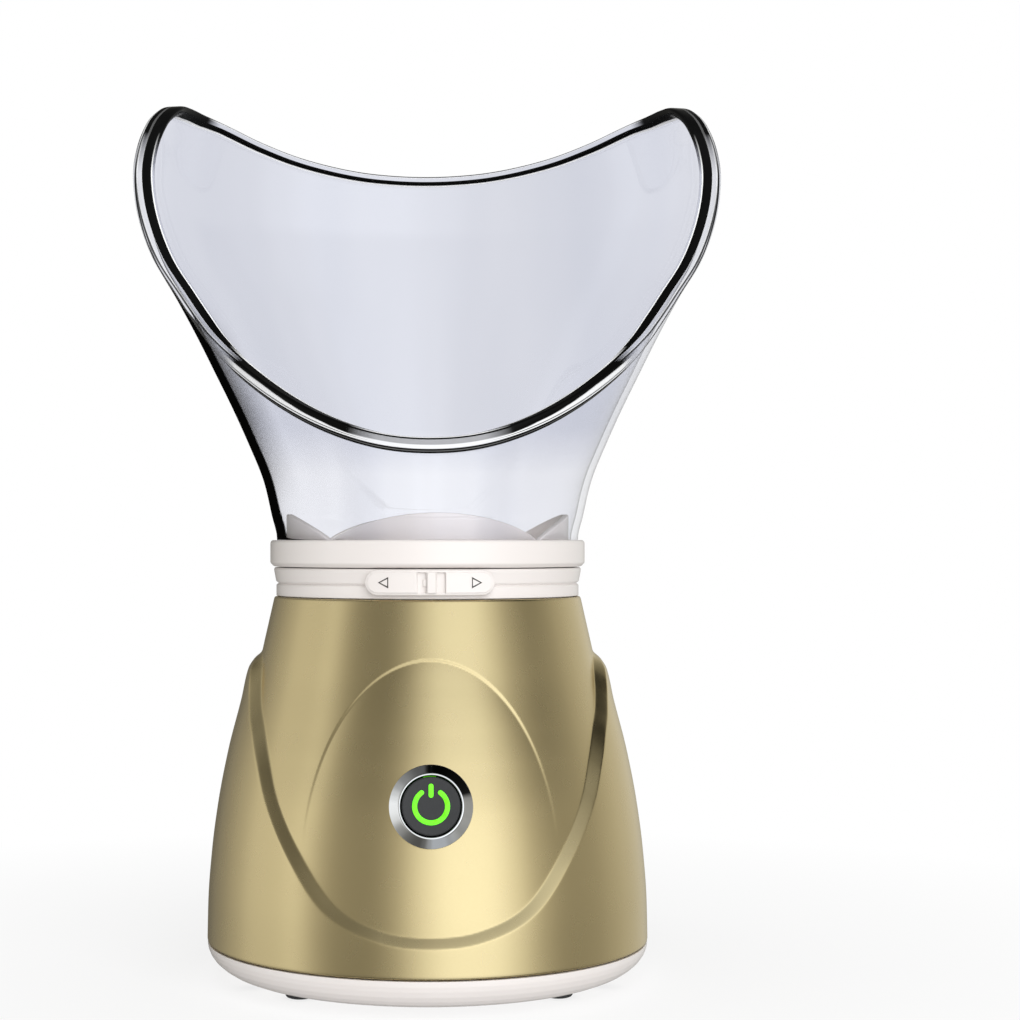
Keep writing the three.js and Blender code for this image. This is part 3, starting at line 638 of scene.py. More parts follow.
for d in (9, 18):
    route.append(along(leave, TAIL_FROM, d, UPPER_Z + 0.05))
turn_from = along(leave, TAIL_FROM, 28, UPPER_Z)
for i in range(9):
    a = TAIL_FROM + (TAIL_TO - TAIL_FROM) * i / 8
    x = turn_from[0] + TAIL_R * (math.sin(TAIL_FROM) - math.sin(a))
    y = turn_from[1] + TAIL_R * (math.cos(a) - math.cos(TAIL_FROM))
    route.append((x, y, CZ + 0.1 + 5.5 * (1 + math.cos(math.pi * min(1, i / 6))) / 2))
turn_end = route[-1]
route.append(along(turn_end, TAIL_TO, 6, 3.5))
route.append(along(turn_end, TAIL_TO, 12.6, 5.8))
curve = bpy.data.curves.new("mains_lead", "CURVE")
curve.dimensions = "3D"
curve.bevel_depth = CORD_D / 2 * MM
curve.bevel_resolution = 6
curve.use_fill_caps = True
curve.resolution_u = 5
spline = curve.splines.new("BEZIER")
spline.bezier_points.add(len(route) - 1)
for point, co in zip(spline.bezier_points, route):
    point.co = Vector(co) * MM
    point.handle_left_type = point.handle_right_type = "AUTO"
curve.materials.append(PVC)
lead = link(curve, "mains_lead")

# The plug, made about +Z from its bulb to its pins, then laid on the surface.
plug_start = along(turn_end, TAIL_TO, 13, 6.0)
PLUG = (Matrix.Translation(plug_start) @ Matrix.Rotation(TAIL_TO, 4, "Z")
        @ Matrix.Rotation(math.radians(70.5), 4, "Y"))
plug = lathe("mains_plug", [
    (0, 0.4), (4.6, 0.4), (7.2, 2.4), (8.0, 5.6), (7.2, 9.0), (5.9, 11.0), (6.6, 12.0), (6.8, 14.4),
    (6.2, 14.8), (6.2, 15.8), (6.95, 16.2), (7.1, 18.6), (6.5, 19.0), (6.5, 20.0), (7.3, 20.4), (7.4, 22.0),
    (9.4, 28.0), (14.0, 31.6), (17.6, 33.4), (18.4, 35.0), (18.4, 38.2), (17.7, 38.7), (17.7, 39.7),
    (18.4, 40.2), (18.4, 42.2), (17.7, 42.7), (17.7, 43.4), (18.4, 43.9), (18.4, 45.6), (17.8, 46.4),
    (16.2, 46.4), (15.8, 45.9), (15.2, 45.9), (14.8, 46.4), (0, 46.4),
], BLACK, 96, 0.5, 3, PLUG)
settle(plug, "base", "black_plastic", "plug_body")
for name, sign in (("left", -1), ("right", 1)):
    spin = PLUG @ Matrix.Translation((sign * 6.9, 0, 0)) @ Matrix.Rotation(sign * math.radians(30), 4, "Z")
    sleeve = bevelled_block("sleeve_" + name, (1.9, 6.6, 8.2), (0, 0, 50.9), BLACK, spin, 0.35)
    settle(sleeve, "base", "black_plastic", "plug_sleeve_" + name)
    pin = bevelled_block("pin_" + name, (1.6, 6.3, 8.6), (0, 0, 59.7), PIN, spin, 0.45)
    settle(pin, "base", "pin_metal", "plug_pin_" + name)
TO_BACK = Matrix.Translation((0, 0, CORD_Z)) @ Matrix.Rotation(math.radians(-90), 4, "X")
relief_profile = [
    (3.1, 62.0), (7.4, 62.0), (7.4, 65.6), (5.2, 65.6), (5.2, 72.4), (7.2, 72.4), (6.6, 74.4), (5.2, 76.0),
]
for i in range(5):
    y = 77.4 + i * 3.0
    r = 5.15 - i * 0.22
    relief_profile += [(r, y), (r - 0.85, y + 0.35), (r - 0.9, y + 1.25), (r - 0.1, y + 1.6)]
relief_profile += [(4.0, 92.0), (3.6, 93.5), (3.1, 93.5)]
relief = lathe("cord_relief", relief_profile, BLACK, 64, 0.3, 3, TO_BACK)
settle(relief, "base", "rubber_foot", "strain_relief")
# A tie round the coil's turns.
TIE_POINTS = 40
TIE_R, TIE_Z = 32.3, 5.95
TIE_HALF, TIE_THICK = 1.9, 0.55
tie_frame = Matrix.Translation((*COIL, 0)) @ Matrix.Rotation(math.radians(205), 4, "Z")
loop = []
for i in range(TIE_POINTS):
    a = 2 * math.pi * i / TIE_POINTS
    c, s = math.cos(a), math.sin(a)
    x = TIE_R + 10.9 * math.copysign(abs(c) ** 0.5, c)
    z = TIE_Z + 5.75 * math.copysign(abs(s) ** 0.6, s)
    loop.append((x, z))
tie_rows = []
for width, grow in ((-TIE_HALF, 0), (-TIE_HALF, TIE_THICK), (TIE_HALF, TIE_THICK), (TIE_HALF, 0)):
    for x, z in loop:
        dx, dz = x - TIE_R, z - TIE_Z
        k = grow / math.hypot(dx, dz)
        tie_rows.append((x + dx * k, width, max(0.06, z + dz * k)))
tie = make("cord_tie", tie_rows, ring_faces(4, TIE_POINTS), BLACK, tie_frame)
settle(tie, "base", "black_plastic")
settle(lead, "base", "black_pvc", "mains_cord", "cord_coil", "cord_tail")

# ---- Body shell ----
BUTTON_TILT = math.radians(11.4)
BUTTON_Z = 63.2
BUTTON_Y = 0.2 - float(front(BUTTON_Z))
BUTTON_TURN = Matrix.Rotation(math.pi / 2 - BUTTON_TILT, 4, "X")
BUTTON_FRAME = Matrix.Translation((0, BUTTON_Y, BUTTON_Z)) @ BUTTON_TURN


def unit(vectors):
    return vectors / np.linalg.norm(vectors, axis=-1, keepdims=True)


def body_shell():
    """The gold shell: a fine grid outside, plain rings inside, and openings for the button and the cord."""
    theta = np.concatenate([
        np.linspace(-180, -80, 130)[:-1], np.linspace(-80, 80, 460)[:-1], np.linspace(80, 180, 130)[:-1],
    ])
    columns = len(theta)
    rad = np.radians(theta)
    tall = np.concatenate([[14, 15.5, 17, 18.5], np.linspace(20, 108, 190), np.linspace(109.5, 123.9, 12)])
    heights = np.concatenate([[12.8, 12.95, 13.15, 13.45], tall, [124.25, 124.45, 124.57, 124.6]])
    inset = np.concatenate([[0.55, 0.28, 0.1, 0.01], np.zeros(len(tall)), [0.06, 0.2, 0.42, 0.75]])
    zz, tt = np.meshgrid(heights, theta, indexing="ij")
    r = body_radius(tt, zz)
    h = 0.02
    rt = (body_radius(tt + h, zz) - body_radius(tt - h, zz)) / math.radians(2 * h)
    rz = (body_radius(tt, np.minimum(zz + h, 124.6)) - body_radius(tt, zz - h)) / (2 * h)
    s, c = np.sin(rad)[None, :], np.cos(rad)[None, :]
    normal = unit(np.stack([r * s - rt * c, -r * c - rt * s, -r * rz], axis=-1))
    lean = np.concatenate([[-0.9, -0.75, -0.4, -0.1], np.zeros(len(tall)), [0.35, 0.7, 1.4, 3.0]])
    normal[..., 2] += lean[:, None]
    rr = r - inset[:, None]
    outer = np.stack([rr * s, -rr * c, zz], axis=-1)

    def all_round(pairs):
        return np.stack([np.stack([q * s[0], -q * c[0], np.full(columns, z)], axis=-1) for q, z in pairs])

    # The inner face as radius and height from top to bottom, and the way each of its rings faces.
    inside = [
        (48.75, 124.6), (48.5, 124.4), (48.3, 123.6), (45.4, 123.6), (45.2, 123.4), (45.2, 121.8),
        (48.2, 119.5), (50.2, 106), (58.6, 75), (65.6, 42), (68.6, 12.8), (70.9, 12.8),
    ]
    inward = [
        (-1, 0.6), (-1, 0.3), (0, 1), (-0.4, 1), (-1, 0.2), (-1, -0.3), (-1, -0.4), (-1, -0.1), (-1, -0.25),
        (-1, -0.2), (-0.5, -1), (0, -1),
    ]
    points = np.concatenate([outer, all_round(inside)]).reshape(-1, 3)
    normals = np.concatenate([unit(normal), unit(all_round(inward))]).reshape(-1, 3)
    quads = grid_quads(len(heights) + len(inside), columns)
    centre = points[quads].mean(axis=1)
    back = np.array(BUTTON_FRAME.inverted())
    local = centre @ back[:3, :3].T + back[:3, 3]
    at_button = (np.hypot(local[:, 0], local[:, 1]) < 11.0) & (np.abs(local[:, 2]) < 8)
    at_cord = (np.hypot(centre[:, 0], centre[:, 2] - CORD_Z) < 5.9) & (centre[:, 1] > 0)
    keep = ~(at_button | at_cord)
    return make("gold_body", points, quads[keep].tolist(), GOLD, normals=normals)


settle(body_shell(), "base", "gold_paint", "body_shell")

# ---- Base cover and feet ----
BASE_SCREWS = [(56.5, 21), (-56.5, 21), (56.5, -21), (-56.5, -21)]
FEET = {
    "foot_front_left": (-41, -36), "foot_front_right": (41, -36),
    "foot_rear_left": (-41, 36), "foot_rear_right": (41, 36),
}
FOOT_PULL = 0.985
FOOT = [(0, 0), (3.4, 0), (3.6, 0.25), (4.1, 0.25), (4.6, 0.9), (4.6, 2.6), (0, 2.6)]
cover = lathe("white_base", [
    (0, 2), (57, 2), (60.2, 2.25), (63, 2.9), (65.8, 4.0), (68, 5.4), (69.9, 7.1), (71.2, 9), (71.85, 10.6),
    (72.1, 12.3), (69.6, 12.3), (68.6, 9.8), (65.4, 6.8), (60.4, 4.8), (0, 4.3),
], WHITE, 256, 0.35, 4)
holes = [rod(3.7, 1, 4.9, x, y, 32) for x, y in BASE_SCREWS]
holes += [rod(4.9, 1, 2.9, x * FOOT_PULL, y * FOOT_PULL, 48) for x, y in FEET.values()]
boolean(cover, holes)
settle(cover, "base", "white_plastic", "base_cover")
for name, (x, y) in FEET.items():
    at = Matrix.Translation((x * FOOT_PULL, y * FOOT_PULL, 0))
    foot = lathe(name.replace("foot", "pad"), FOOT, RUBBER, 48, 0.2, 3, at)
    settle(foot, "base", "rubber_foot", name)

# ---- Neck and slider ----
neck = lathe("neck_band", [
    (48.7, 126.0), (48.7, 124.9), (49.7, 124.9), (49.7, 128.4), (48.9, 129.0), (49.8, 129.6), (50.5, 133.4),
    (50.2, 134.1), (45.2, 134.1), (45.2, 140.6), (43.0, 140.6), (43.0, 132.4), (46.4, 132.4), (46.4, 126.0),
], WHITE, 256, 0.25, 3)


def bent_plate(name, r0, r1, half_deg, z0, z1, material, columns=64, corner=0.35):
    """A plate bent round the neck between two radii, with round ends and soft edges."""
    mid, h = (z0 + z1) / 2, (z1 - z0) / 2
    radius = (r0 + r1) / 2
    half = math.radians(half_deg) * radius
    turn = min(h, half / 2)
    ends = [half - turn + turn * math.sin(math.radians(a)) for a in (90, 84, 75, 65, 52, 38, 24, 10)]
    stations = ends + list(np.linspace(half - turn, turn - half, columns)) + [-e for e in reversed(ends)]
    section = []
    for quarter, (sr, sz) in enumerate(((-1, -1), (-1, 1), (1, 1), (1, -1))):
        for k in range(4):
            a = math.radians(270 - 90 * quarter - 30 * k)
            section.append((sr, sz, math.cos(a), math.sin(a)))
    verts = []
    for st in stations:
        u = max(0.0, min(1.0, (abs(st) - half + turn) / turn))
        tall = max(0.3, h * math.sqrt(max(0, 1 - u * u)))
        c = min(corner, tall * 0.9)
        a = st / radius
        for sr, sz, across, up in section:
            r = (r0 if sr < 0 else r1) - sr * corner + across * corner
            z = mid + sz * (tall - c) + up * c
            verts.append((r * math.sin(a), -r * math.cos(a), z))
    m = len(section)
    faces = [tuple(range(m)), tuple(reversed(range(len(verts) - m, len(verts))))]
    for j in range(len(stations) - 1):
        for i in range(m):
            i2 = (i + 1) % m
            faces.append((j * m + i, (j + 1) * m + i, (j + 1) * m + i2, j * m + i2))
    return make(name, verts, faces, material)


slot_cut = bent_plate("cutter", 44, 52, 13.5, 128.4, 131.4, None, 24, 0.2)
boolean(neck, [slot_cut])
settle(neck, "base", "white_plastic", "neck_ring")


# The print's two faces, and the radius at which its distances round the neck are measured.
PRINT_LOW, PRINT_HIGH, PRINT_R = 52.42, 52.47, 52.3


def on_slider(points, r):
    """Puts points given as (distance round, height) at a radius."""
    return [(r * math.sin(x / PRINT_R), -r * math.cos(x / PRINT_R), z) for x, z in points]


def arrow(x0, x1, z, half):
    """A triangle outline between two distances round the neck, pointing at x0."""
    wide = 0.3
    sign = 1 if x1 > x0 else -1
    outer = [(x0, z), (x1, z - half), (x1, z + half)]
    run = abs(x1 - x0)
    gain = wide * (1 + 2 * half / run)
    inner = [
        (x0 + sign * wide * math.hypot(run, half) / half, z),
        (x1 - sign * wide, z - half + gain), (x1 - sign * wide, z + half - gain),
    ]
    verts = on_slider(outer + inner, PRINT_LOW) + on_slider(outer + inner, PRINT_HIGH)
    faces = []
    for i in range(3):
        j = (i + 1) % 3
        faces += [(6 + i, 6 + j, 9 + j, 9 + i), (i, j, 6 + j, 6 + i)]
        faces += [(3 + i, 9 + i, 9 + j, 3 + j), (i, 3 + i, 3 + j, j)]
    return make("arrow", verts, faces, PRINT)


slider = bent_plate("slide_plate", 50.7, 52.05, 22.5, 126.05, 133.85, WHITE, corner=0.45)
boolean(slider, [bent_plate("cutter", 51.6, 52.4, 21.55, 126.8, 133.1, None, corner=0.22)], "UNION")
SLIDER_Z = 129.95
grooves = [
    bevelled_block("cutter", (2.9, 2.6, 6.4), (x, -52.4, SLIDER_Z), None, None, 0.4, 4) for x in (-2.55, 3.35)
]
boolean(slider, grooves)
rib = bevelled_block("rib", (2.6, 1.9, 6.5), (0.4, -52.0, SLIDER_Z), WHITE, None, 0.35, 4)
peg = bevelled_block("peg", (4.4, 4.8, 2.2), (0, -49.3, 129.9), WHITE, None, 0.3)
join(slider, rib, peg, arrow(-16.2, -12.9, SLIDER_Z, 1.75), arrow(16.2, 12.9, SLIDER_Z, 1.75))
settle(slider, "slider", "white_plastic", "steam_slider")

# ---- Collar, crown and seal ----
collar = lathe("collar_band", [
    (47.1, 134.4), (50.5, 134.4), (51.7, 135.6), (51.7, 142.3), (51.1, 143.0), (43.3, 143.0), (43.3, 141.0),
    (47.1, 141.0),
], WHITE, 256, 0.45, 4)

# The crown's section: radius, and how far above its wavy top; None is its foot in the collar.
CROWN = [
    (43.6, None), (46.4, None), (46.4, -0.4), (46.25, -0.12), (45.9, 0.0), (44.8, 0.0), (44.5, -0.12),
    (44.4, -0.4),
]
CROWN_LOW, CROWN_TALL, CROWN_FOOT = 142.4, 9.1, 142.6


def crown():
    """Four petals that stand inside the mask."""
    n = 480
    a = np.arange(n) * 2 * math.pi / n
    top = CROWN_LOW + CROWN_TALL * np.abs(np.cos(2 * (a - math.radians(3)))) ** 0.75
    rows = []
    for r, lift in CROWN:
        z = np.full(n, CROWN_FOOT) if lift is None else np.maximum(top + lift, CROWN_FOOT + 0.1)
        rows.append(np.stack([r * np.sin(a), -r * np.cos(a), z], axis=1))
    return make("crown", np.concatenate(rows), ring_faces(len(rows), n), WHITE)


join(collar, crown())
settle(collar, "mask", "white_plastic", "mask_collar")
seal = lathe("turning_seal", [
    (45.5, 134.6), (46.6, 134.6), (46.2, 137.0), (46.6, 139.8), (45.5, 139.8),
], SILICONE, 160, 0.2, 3)
settle(seal, "swivel", "silicone", "swivel_seal")


# ---- Clear mask ----
# The mask is round at its foot and grows into an oval with these depths, over this height.
MASK_FRONT, MASK_BACK, MASK_GROWS = 70.5, 67.5, 110


def mask_point(phi, z, inset):
    """A point of the mask's oval at degrees from the front and height, some way inside its outline."""
    t = np.abs(phi)
    half = mask_side(z) - inset
    blend = np.clip((z - MASK_SIDE[0][0]) / MASK_GROWS, 0, 1)
    depth = np.where(t < 90, MASK_FRONT, MASK_BACK)
    limit = MASK_SIDE[0][1] + (depth - MASK_SIDE[0][1]) * blend ** 1.15
    b = np.where(z < 150, half, np.minimum(half, limit - inset))
    a = np.radians(phi)
    r = half * b / np.hypot(b * np.sin(a), half * np.cos(a))
    return np.stack([r * np.sin(a), -r * np.cos(a), z], axis=-1)


# The bead round the rim: how far down from the edge, how far out, and its place in the painted lines.
BEAD = [
    (6.2, 0.0, -6.2), (5.4, 0.1, -5.4), (4.8, 0.55, -4.8), (4.2, 0.95, -4.2), (3.2, 1.05, -3.2),
    (1.4, 1.0, -1.4), (0.6, 0.8, -0.6), (0.15, 0.35, -0.15), (0.0, -0.3, 0.4), (0.0, -1.6, 2.4),
    (0.0, -3.0, 5.2), (0.15, -3.75, 6.8), (0.6, -4.2, 8.2), (1.4, -4.35, 9.4), (3.2, -4.2, 11.2),
    (4.2, -3.6, 12.2), (4.8, -2.9, 12.8), (5.4, -2.5, 13.4), (6.2, -2.4, 14.2),
]
MASK_LOW = 143.05
MASK_INSET = 0.3
MASK_WALL = 2.3
MASK_COLUMNS = 720
WALL_ROWS, BEAD_ROWS = 56, 4 * len(BEAD)
# The bead reaches this far down from the edge where nothing narrows it.
BEAD_DOWN = 7.0


def clear_mask():
    """The shell in columns at equal steps along the rim, so its steep sides stay as fine as the rest."""
    fine = np.linspace(-180, 180, 7201)
    line = mask_point(fine, rim_height(np.abs(fine)), MASK_INSET)
    steps = np.concatenate([[0], np.cumsum(np.linalg.norm(np.diff(line, axis=0), axis=1) + 0.01)])
    n = MASK_COLUMNS
    phi = np.interp(np.arange(n) * steps[-1] / n, steps, fine)
    t = np.abs(phi)
    top = rim_height(t)
    spot = mask_point(phi, top, MASK_INSET)
    radius = np.hypot(spot[:, 0], spot[:, 1])
    tangent = np.roll(spot, -1, axis=0) - np.roll(spot, 1, axis=0)
    run = np.hypot(tangent[:, 0], tangent[:, 1])
    lean = np.arctan2(tangent[:, 2], run)
    at_side = np.clip((t - 64) / 12, 0, 1) * np.clip((112 - t) / 12, 0, 1)
    at_back = np.clip((t - 104) / 14, 0, 1)
    shrink = 1 - 0.35 * at_side - 0.38 * at_back
    rows, stripe = [], []

    def level(down, out):
        """A row of the bead, so far down from the edge and so far out."""
        p = phi + np.degrees(down * np.sin(lean) / radius)
        z = top - down * np.cos(lean)
        return mask_point(p, z, MASK_INSET - out)

    def wall(k, out):
        """A row of the wall, from its foot at 0 to the bead at 1."""
        p = phi + k * np.degrees(BEAD_DOWN * shrink * np.sin(lean) / radius)
        z = MASK_LOW + (top - BEAD_DOWN * shrink * np.cos(lean) - MASK_LOW) * k
        return mask_point(p, z, MASK_INSET - out)

    for k in np.linspace(0, 1, WALL_ROWS):
        rows.append(wall(k, 0.0))
        stripe.append(STRIPE_LOW)
    along = [float(i) for i in range(len(BEAD))]
    tables = [smooth_table(list(zip(along, column))) for column in zip(*BEAD)]
    for u in np.linspace(0, along[-1], BEAD_ROWS):
        down, out, place = (float(table(u)) for table in tables)
        inward = 1.7 * at_side * np.clip((-out - 2.4) / 1.95, 0, 1)
        rows.append(level(down * shrink, out - inward))
        stripe.append(place)
    for k in np.linspace(1, 0, WALL_ROWS):
        rows.append(wall(k, -MASK_WALL))
        stripe.append(STRIPE_LOW + STRIPE_SPAN)
    points = np.concatenate(rows)
    count = len(rows)
    quads = grid_quads(count, n)
    # With normals handed in, make keeps the points in their order, which the attributes below need.
    upward = np.tile((0.0, 0.0, 1.0), (len(points), 1))
    obj = make("mask_shell", points, quads.tolist(), CLEAR, normals=upward)
    set_normals(obj.data, area_normals(obj.data))
    x, z = points[:, 0], points[:, 2]
    outside = np.arange(len(points)) < WALL_ROWS * n
    within = np.arange(len(points)) >= (WALL_ROWS + BEAD_ROWS) * n
    back = np.tile(np.clip((t - 75) / 30, 0, 1), count)
    # Two upright stretches of painted shade at the front of the neck.
    band = np.clip(1 - (np.abs(x) - 21) ** 2 / 60, 0, 1) * np.clip((215 - z) / 30, 0, 1)
    left = np.clip((-x - 20) / 25, 0, 1)
    # How strong the painted shade on the left edge is at each height.
    painted_shade_by_height = np.interp(z, (143, 150, 165, 190, 216, 230), (0.90, 0.88, 0.84, 0.80, 0.76, 0))
    place = np.repeat(stripe, n)
    # Toward the sides the front's painted black line slides inward, and the painted white gap at its outer
    # edge widens.
    gap_at, gap = RIM_GAP[0], RIM_GAP[1] - RIM_GAP[0]
    slid = np.tile(np.interp(t, (26, 34, 43, 54), (0, 0.5, 0.9, 1.7)), count)
    past = np.maximum(gap_at + (place - gap_at) * gap / (gap + slid), place - slid)
    # Where each table of painted lines holds, how strong the tint is, and where turned edges go dark: the
    # left side's darker edge and inner face are painted shade, and the right side's lighter outline is
    # painted light.
    fields = {
        "stripe": (place - STRIPE_LOW) / STRIPE_SPAN,
        "front_stripe": (np.where(place < gap_at, place, past) - STRIPE_LOW) / STRIPE_SPAN,
        "middle": np.tile(np.clip((26 - t) / 9, 0, 1), count),
        "side": np.tile(np.clip((t - 63) / 6, 0, 1), count),
        "back": np.tile(np.clip((t - 106) / 3, 0, 1), count),
        "horn": np.tile(np.clip((t - 88) / 4, 0, 1) * np.clip((117 - t) / 4, 0, 1), count),
        "tint_with_painted_shade": np.maximum(back * np.clip((z - 166) / 16, 0, 1), 0.22 * band * (1 - back)),
        "left_edge_painted_shade": left * painted_shade_by_height * outside,
        "outline": 1 - 0.85 * np.clip((x - 20) / 20, 0, 1) * np.clip((238 - z) / 16, 0, 1),
        "painted_left_shade": left * within * np.clip((z - 155) / 30, 0, 1) * np.clip((224 - z) / 12, 0, 1),
    }
    for name, values in fields.items():
        layer = obj.data.attributes.new(name, "FLOAT", "POINT")
        layer.data.foreach_set("value", np.asarray(values, np.float32))
    return obj


settle(clear_mask(), "mask", "clear_mask", "face_mask")

# ---- Steam hood ----
hood = lathe("hood_cap", [
    (7, 138.6), (9.2, 138.6), (9.6, 137.2), (20, 136.4), (32, 134.2), (39, 131.6), (42.4, 131.3),
    (42.4, 129.9), (38.4, 129.9), (31.2, 132.6), (19.6, 134.8), (7, 135.6),
], WHITE, 160, 0.4, 4)
cuts = []
for a in (45, 135, 225, 315):
    turn = Matrix.Rotation(math.radians(a), 4, "Z")
    cuts.append(bevelled_block("cutter", (9, 3, 12), (0, -27, 135), None, turn, 1.2, 4))
boolean(hood, cuts)
settle(hood, "hood", "white_plastic", "steam_hood")

# ---- Power button ----
bezel = lathe("chrome_bezel", [
    (9.9, -10.6), (10.6, -10.6), (10.6, 0.9), (12.6, 0.9), (12.6, 1.35), (10.05, 3.15), (9.75, 3.4),
    (9.3, 3.4), (9.2, 3.1), (9.2, 1.2), (9.4, 0.8), (9.4, -10.6),
], BEZEL, 160, 0.15, 3, BUTTON_FRAME)
settle(bezel, "base", "chrome", "button_bezel")
cap = lathe("button_cap", [
    (0, -8.6), (2.2, -8.6), (2.2, -1.1), (6.2, -1.1), (6.2, -3.6), (8.8, -3.6), (8.8, 2.9), (8.4, 3.2),
    (6.6, 3.12), (0, 3.0),
], BUTTON, 128, 0.2, 4, BUTTON_FRAME)
settle(cap, "button", "button_plastic", "power_button")

ICON_R = 4.9
ICON_WIDTH = 1.5
ICON_LOW, ICON_HIGH = 3.02, 3.28


def icon_stroke(name, centre_line):
    """A raised line of the icon's width along a path, with round ends."""
    path = np.array(centre_line)
    ahead = unit(np.gradient(path, axis=0))
    half = ICON_WIDTH / 2
    left, right = [], []
    for point, (dx, dy) in zip(path, ahead):
        left.append((point[0] - half * dy, point[1] + half * dx))
        right.append((point[0] + half * dy, point[1] - half * dx))
    outline = list(right)
    for end, direction, side in ((path[-1], ahead[-1], 1), (path[0], ahead[0], -1)):
        turn = math.atan2(direction[1], direction[0]) - math.pi / 2 * side
        cap = []
        for k in range(1, 12):
            a = turn + math.pi * k / 12
            cap.append((end[0] + half * math.cos(a), end[1] + half * math.sin(a)))
        outline += cap + (list(reversed(left)) if side == 1 else [])
    flat = np.array(outline)
    count = len(flat)
    verts = [(x, y, z) for z in (ICON_LOW, ICON_HIGH) for x, y in flat]
    faces = [tuple(reversed(range(count))), tuple(range(count, 2 * count))]
    faces += [(i, (i + 1) % count, count + (i + 1) % count, count + i) for i in range(count)]
    return make(name, verts, faces, GREEN, BUTTON_FRAME)


turns = np.linspace(math.radians(125), math.radians(415), 91)
arc = [(ICON_R * math.cos(a), ICON_R * math.sin(a)) for a in turns]
settle(icon_stroke("icon_arc", arc), "button", "icon_green", "power_icon_ring")
bar = icon_stroke("icon_line", [(0, 3.25), (0, 4.0), (0, 5.0), (0, 5.95)])
settle(bar, "button", "icon_green", "power_icon_bar")

# ---- Finishes for the CAD nodes that keep their shape ----
KEPT = {
    "water_tank": TANK, "tank_gasket": SILICONE, "heater_dish": ALLOY, "ptc_heater": CERAMIC,
    "heater_clamp": STEEL, "thermostat": BLACK, "thermal_fuse": CERAMIC, "bezel_nut": STEEL,
    "button_spring": STEEL, "power_switch": BLACK, "indicator_led": GREEN, "switch_board": BOARD,
    "power_board": BOARD, "terminal_block": CERAMIC, "cord_clamp": TANK, "heater_lead_1": WIRE,
    "heater_lead_2": WIRE, "shutter_ring": TANK,
}
for name, obj in NODES.items():
    material = KEPT.get(name) or (STEEL if "screw" in name else None)
    if material:
        obj.data.materials.clear()
        obj.data.materials.append(material)

# ---- Floor, light and surroundings ----
floor_mat = Paint("pale_floor")
# The floor fades into the white round it.
distance = floor_mat.node("VectorMath", {0: floor_mat.coords()}, operation="LENGTH").outputs["Value"]
fade = floor_mat.span(distance, 0.78, 1, 0.08, 0.35)
clouds = floor_mat.span(floor_mat.noise(8, 3), 0, 1)
pale = floor_mat.mix(clouds, (0.90, 0.90, 0.90, 1), (0.92, 0.92, 0.92, 1))
matt = floor_mat.node("BsdfDiffuse", {"Color": pale}).outputs[0]
glow = floor_mat.node("Emission", {"Color": (1, 1, 1, 1), "Strength": 1.0}).outputs[0]
floor_mat.finish(floor_mat.node("MixShader", {0: fade, 1: matt, 2: glow}).outputs[0])
FLOOR_RINGS = 13
floor_verts = []
for ring in range(FLOOR_RINGS):
    for i in range(64):
        a = 2 * math.pi * i / 64
        floor_verts.append((50 * ring * math.cos(a), 50 * ring * math.sin(a), 0))
floor = make("floor", floor_verts, ring_faces(FLOOR_RINGS, 64, closed=False), floor_mat.mat)
floor.visible_glossy = False


def area_light(name, azimuth, elevation, distance, size, power):
    """A soft rectangular light that looks at the object; azimuth 0 is the front, + to the right."""
    data = bpy.data.lights.new(name, "AREA")
    data.shape = "RECTANGLE"
    data.size, data.size_y = size
    data.energy = power
    obj = bpy.data.objects.new(name, data)
    bpy.context.scene.collection.objects.link(obj)
    a, e = math.radians(azimuth), math.radians(elevation)
    target = Vector((0, 0, 0.13))
    toward = Vector((math.sin(a) * math.cos(e), -math.cos(a) * math.cos(e), math.sin(e)))
    obj.location = target + distance * toward
    obj.rotation_euler = (target - obj.location).to_track_quat("-Z", "Y").to_euler()
    obj.visible_camera = False
    obj.visible_glossy = False
    obj.visible_transmission = False


area_light("front_fill", 15, 30, 1.6, (1.4, 1.4), 16)
area_light("top_fill", 0, 80, 1.4, (1.6, 1.6), 8)

world = bpy.data.worlds.new("studio")
bpy.context.scene.world = world
world.use_nodes = True
room = Graph(world.node_tree)


def ramp(value, stops):
    n = room.node("ValToRGB", {0: value})
    n.color_ramp.interpolation = "EASE"
    ends = n.color_ramp.elements
    while len(ends) > 1:
        ends.remove(ends[-1])
    ends[0].position = stops[0][0]
    ends[0].color = (stops[0][1],) * 3 + (1,)
    for position, level in stops[1:]:
        e = ends.new(position)
        e.color = (level,) * 3 + (1,)
    return n.outputs["Color"]


generated = room.node("TexCoord").outputs["Generated"]
ways = room.node("SeparateXYZ", {0: generated}).outputs
minus_y = room.calc(ways[1], -1.0)
turned = room.calc(ways[0], minus_y, "ARCTAN2")
around = room.calc(room.calc(turned, 1 / (2 * math.pi)), 0.5, "ADD")
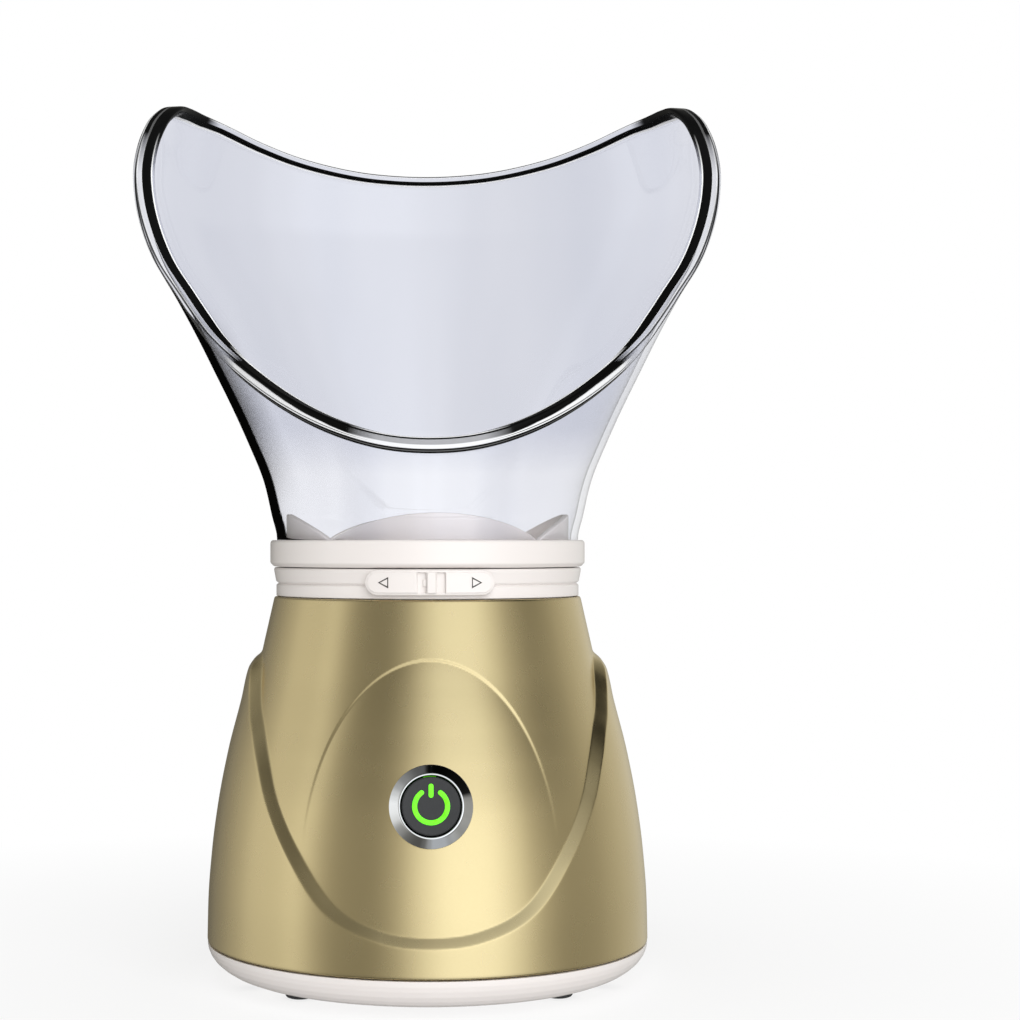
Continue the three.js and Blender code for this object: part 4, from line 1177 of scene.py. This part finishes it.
# The room's light by degrees round from the front, and by height from floor to ceiling.
AROUND = [
    (-180, 0.22), (-160, 0.16), (-140, 0.30), (-114, 0.52), (-106, 0.74), (-82, 0.76), (-74, 1.0), (-68, 0.9),
    (-60, 0.50), (-50, 0.33), (-28, 0.29), (-18, 0.46), (-3, 1.10), (8, 1.50), (34, 1.50), (46, 1.05),
    (60, 0.50), (74, 0.34), (96, 0.38), (108, 0.50), (126, 0.62), (150, 0.72), (168, 0.46), (180, 0.22),
]
UPWARD = [
    (0.0, 0.3), (0.12, 0.3), (0.25, 0.6), (0.42, 0.9), (0.5, 1.0), (0.6, 0.98), (0.67, 0.82), (0.72, 0.70),
    (0.8, 0.46), (0.88, 0.30), (1.0, 0.1),
]
level = ramp(around, [((a + 180) / 360, v / 2) for a, v in AROUND])
height = ramp(room.calc(room.calc(ways[2], 0.5), 0.5, "ADD"), UPWARD)
light = room.node("MixRGB", {0: 1.0, 1: level, 2: height}, blend_type="MULTIPLY").outputs[0]
# A black flag hangs overhead, in a strip that comes down on the right.
FLAG_WAY = (0.53, 0.0, 0.85)
to_flag = room.node("VectorMath", {0: generated, 1: FLAG_WAY}, operation="DOT_PRODUCT").outputs["Value"]
reach = room.span(to_flag, 0.0, 0.96, 0.76, 0.84)
aside = room.calc(room.calc(minus_y, 0.08, "SUBTRACT"), 0.0, "ABSOLUTE")
strip = room.span(aside, 1.0, 0.0, 0.14, 0.22)
flag = room.calc(1.0, room.calc(reach, strip), "SUBTRACT")
light = room.node("MixRGB", {0: 1.0, 1: light, 2: flag}, blend_type="MULTIPLY").outputs[0]
# Dim parts of the room are a little warm and bright ones a little cool.
cast = room.node("MixRGB", {0: level, 1: (1.0, 0.965, 0.85, 1), 2: (0.94, 1.0, 1.08, 1)}).outputs[0]
light = room.node("MixRGB", {0: 1.0, 1: light, 2: cast}, blend_type="MULTIPLY").outputs[0]
studio = room.node("Background", {"Color": light, "Strength": 2.0}).outputs[0]
plain = room.node("Background", {"Color": (1, 1, 1, 1), "Strength": 1.0}).outputs[0]
seen = room.node("LightPath").outputs["Is Camera Ray"]
both = room.node("MixShader", {0: seen, 1: studio, 2: plain}).outputs[0]
room.node("OutputWorld", {"Surface": both})
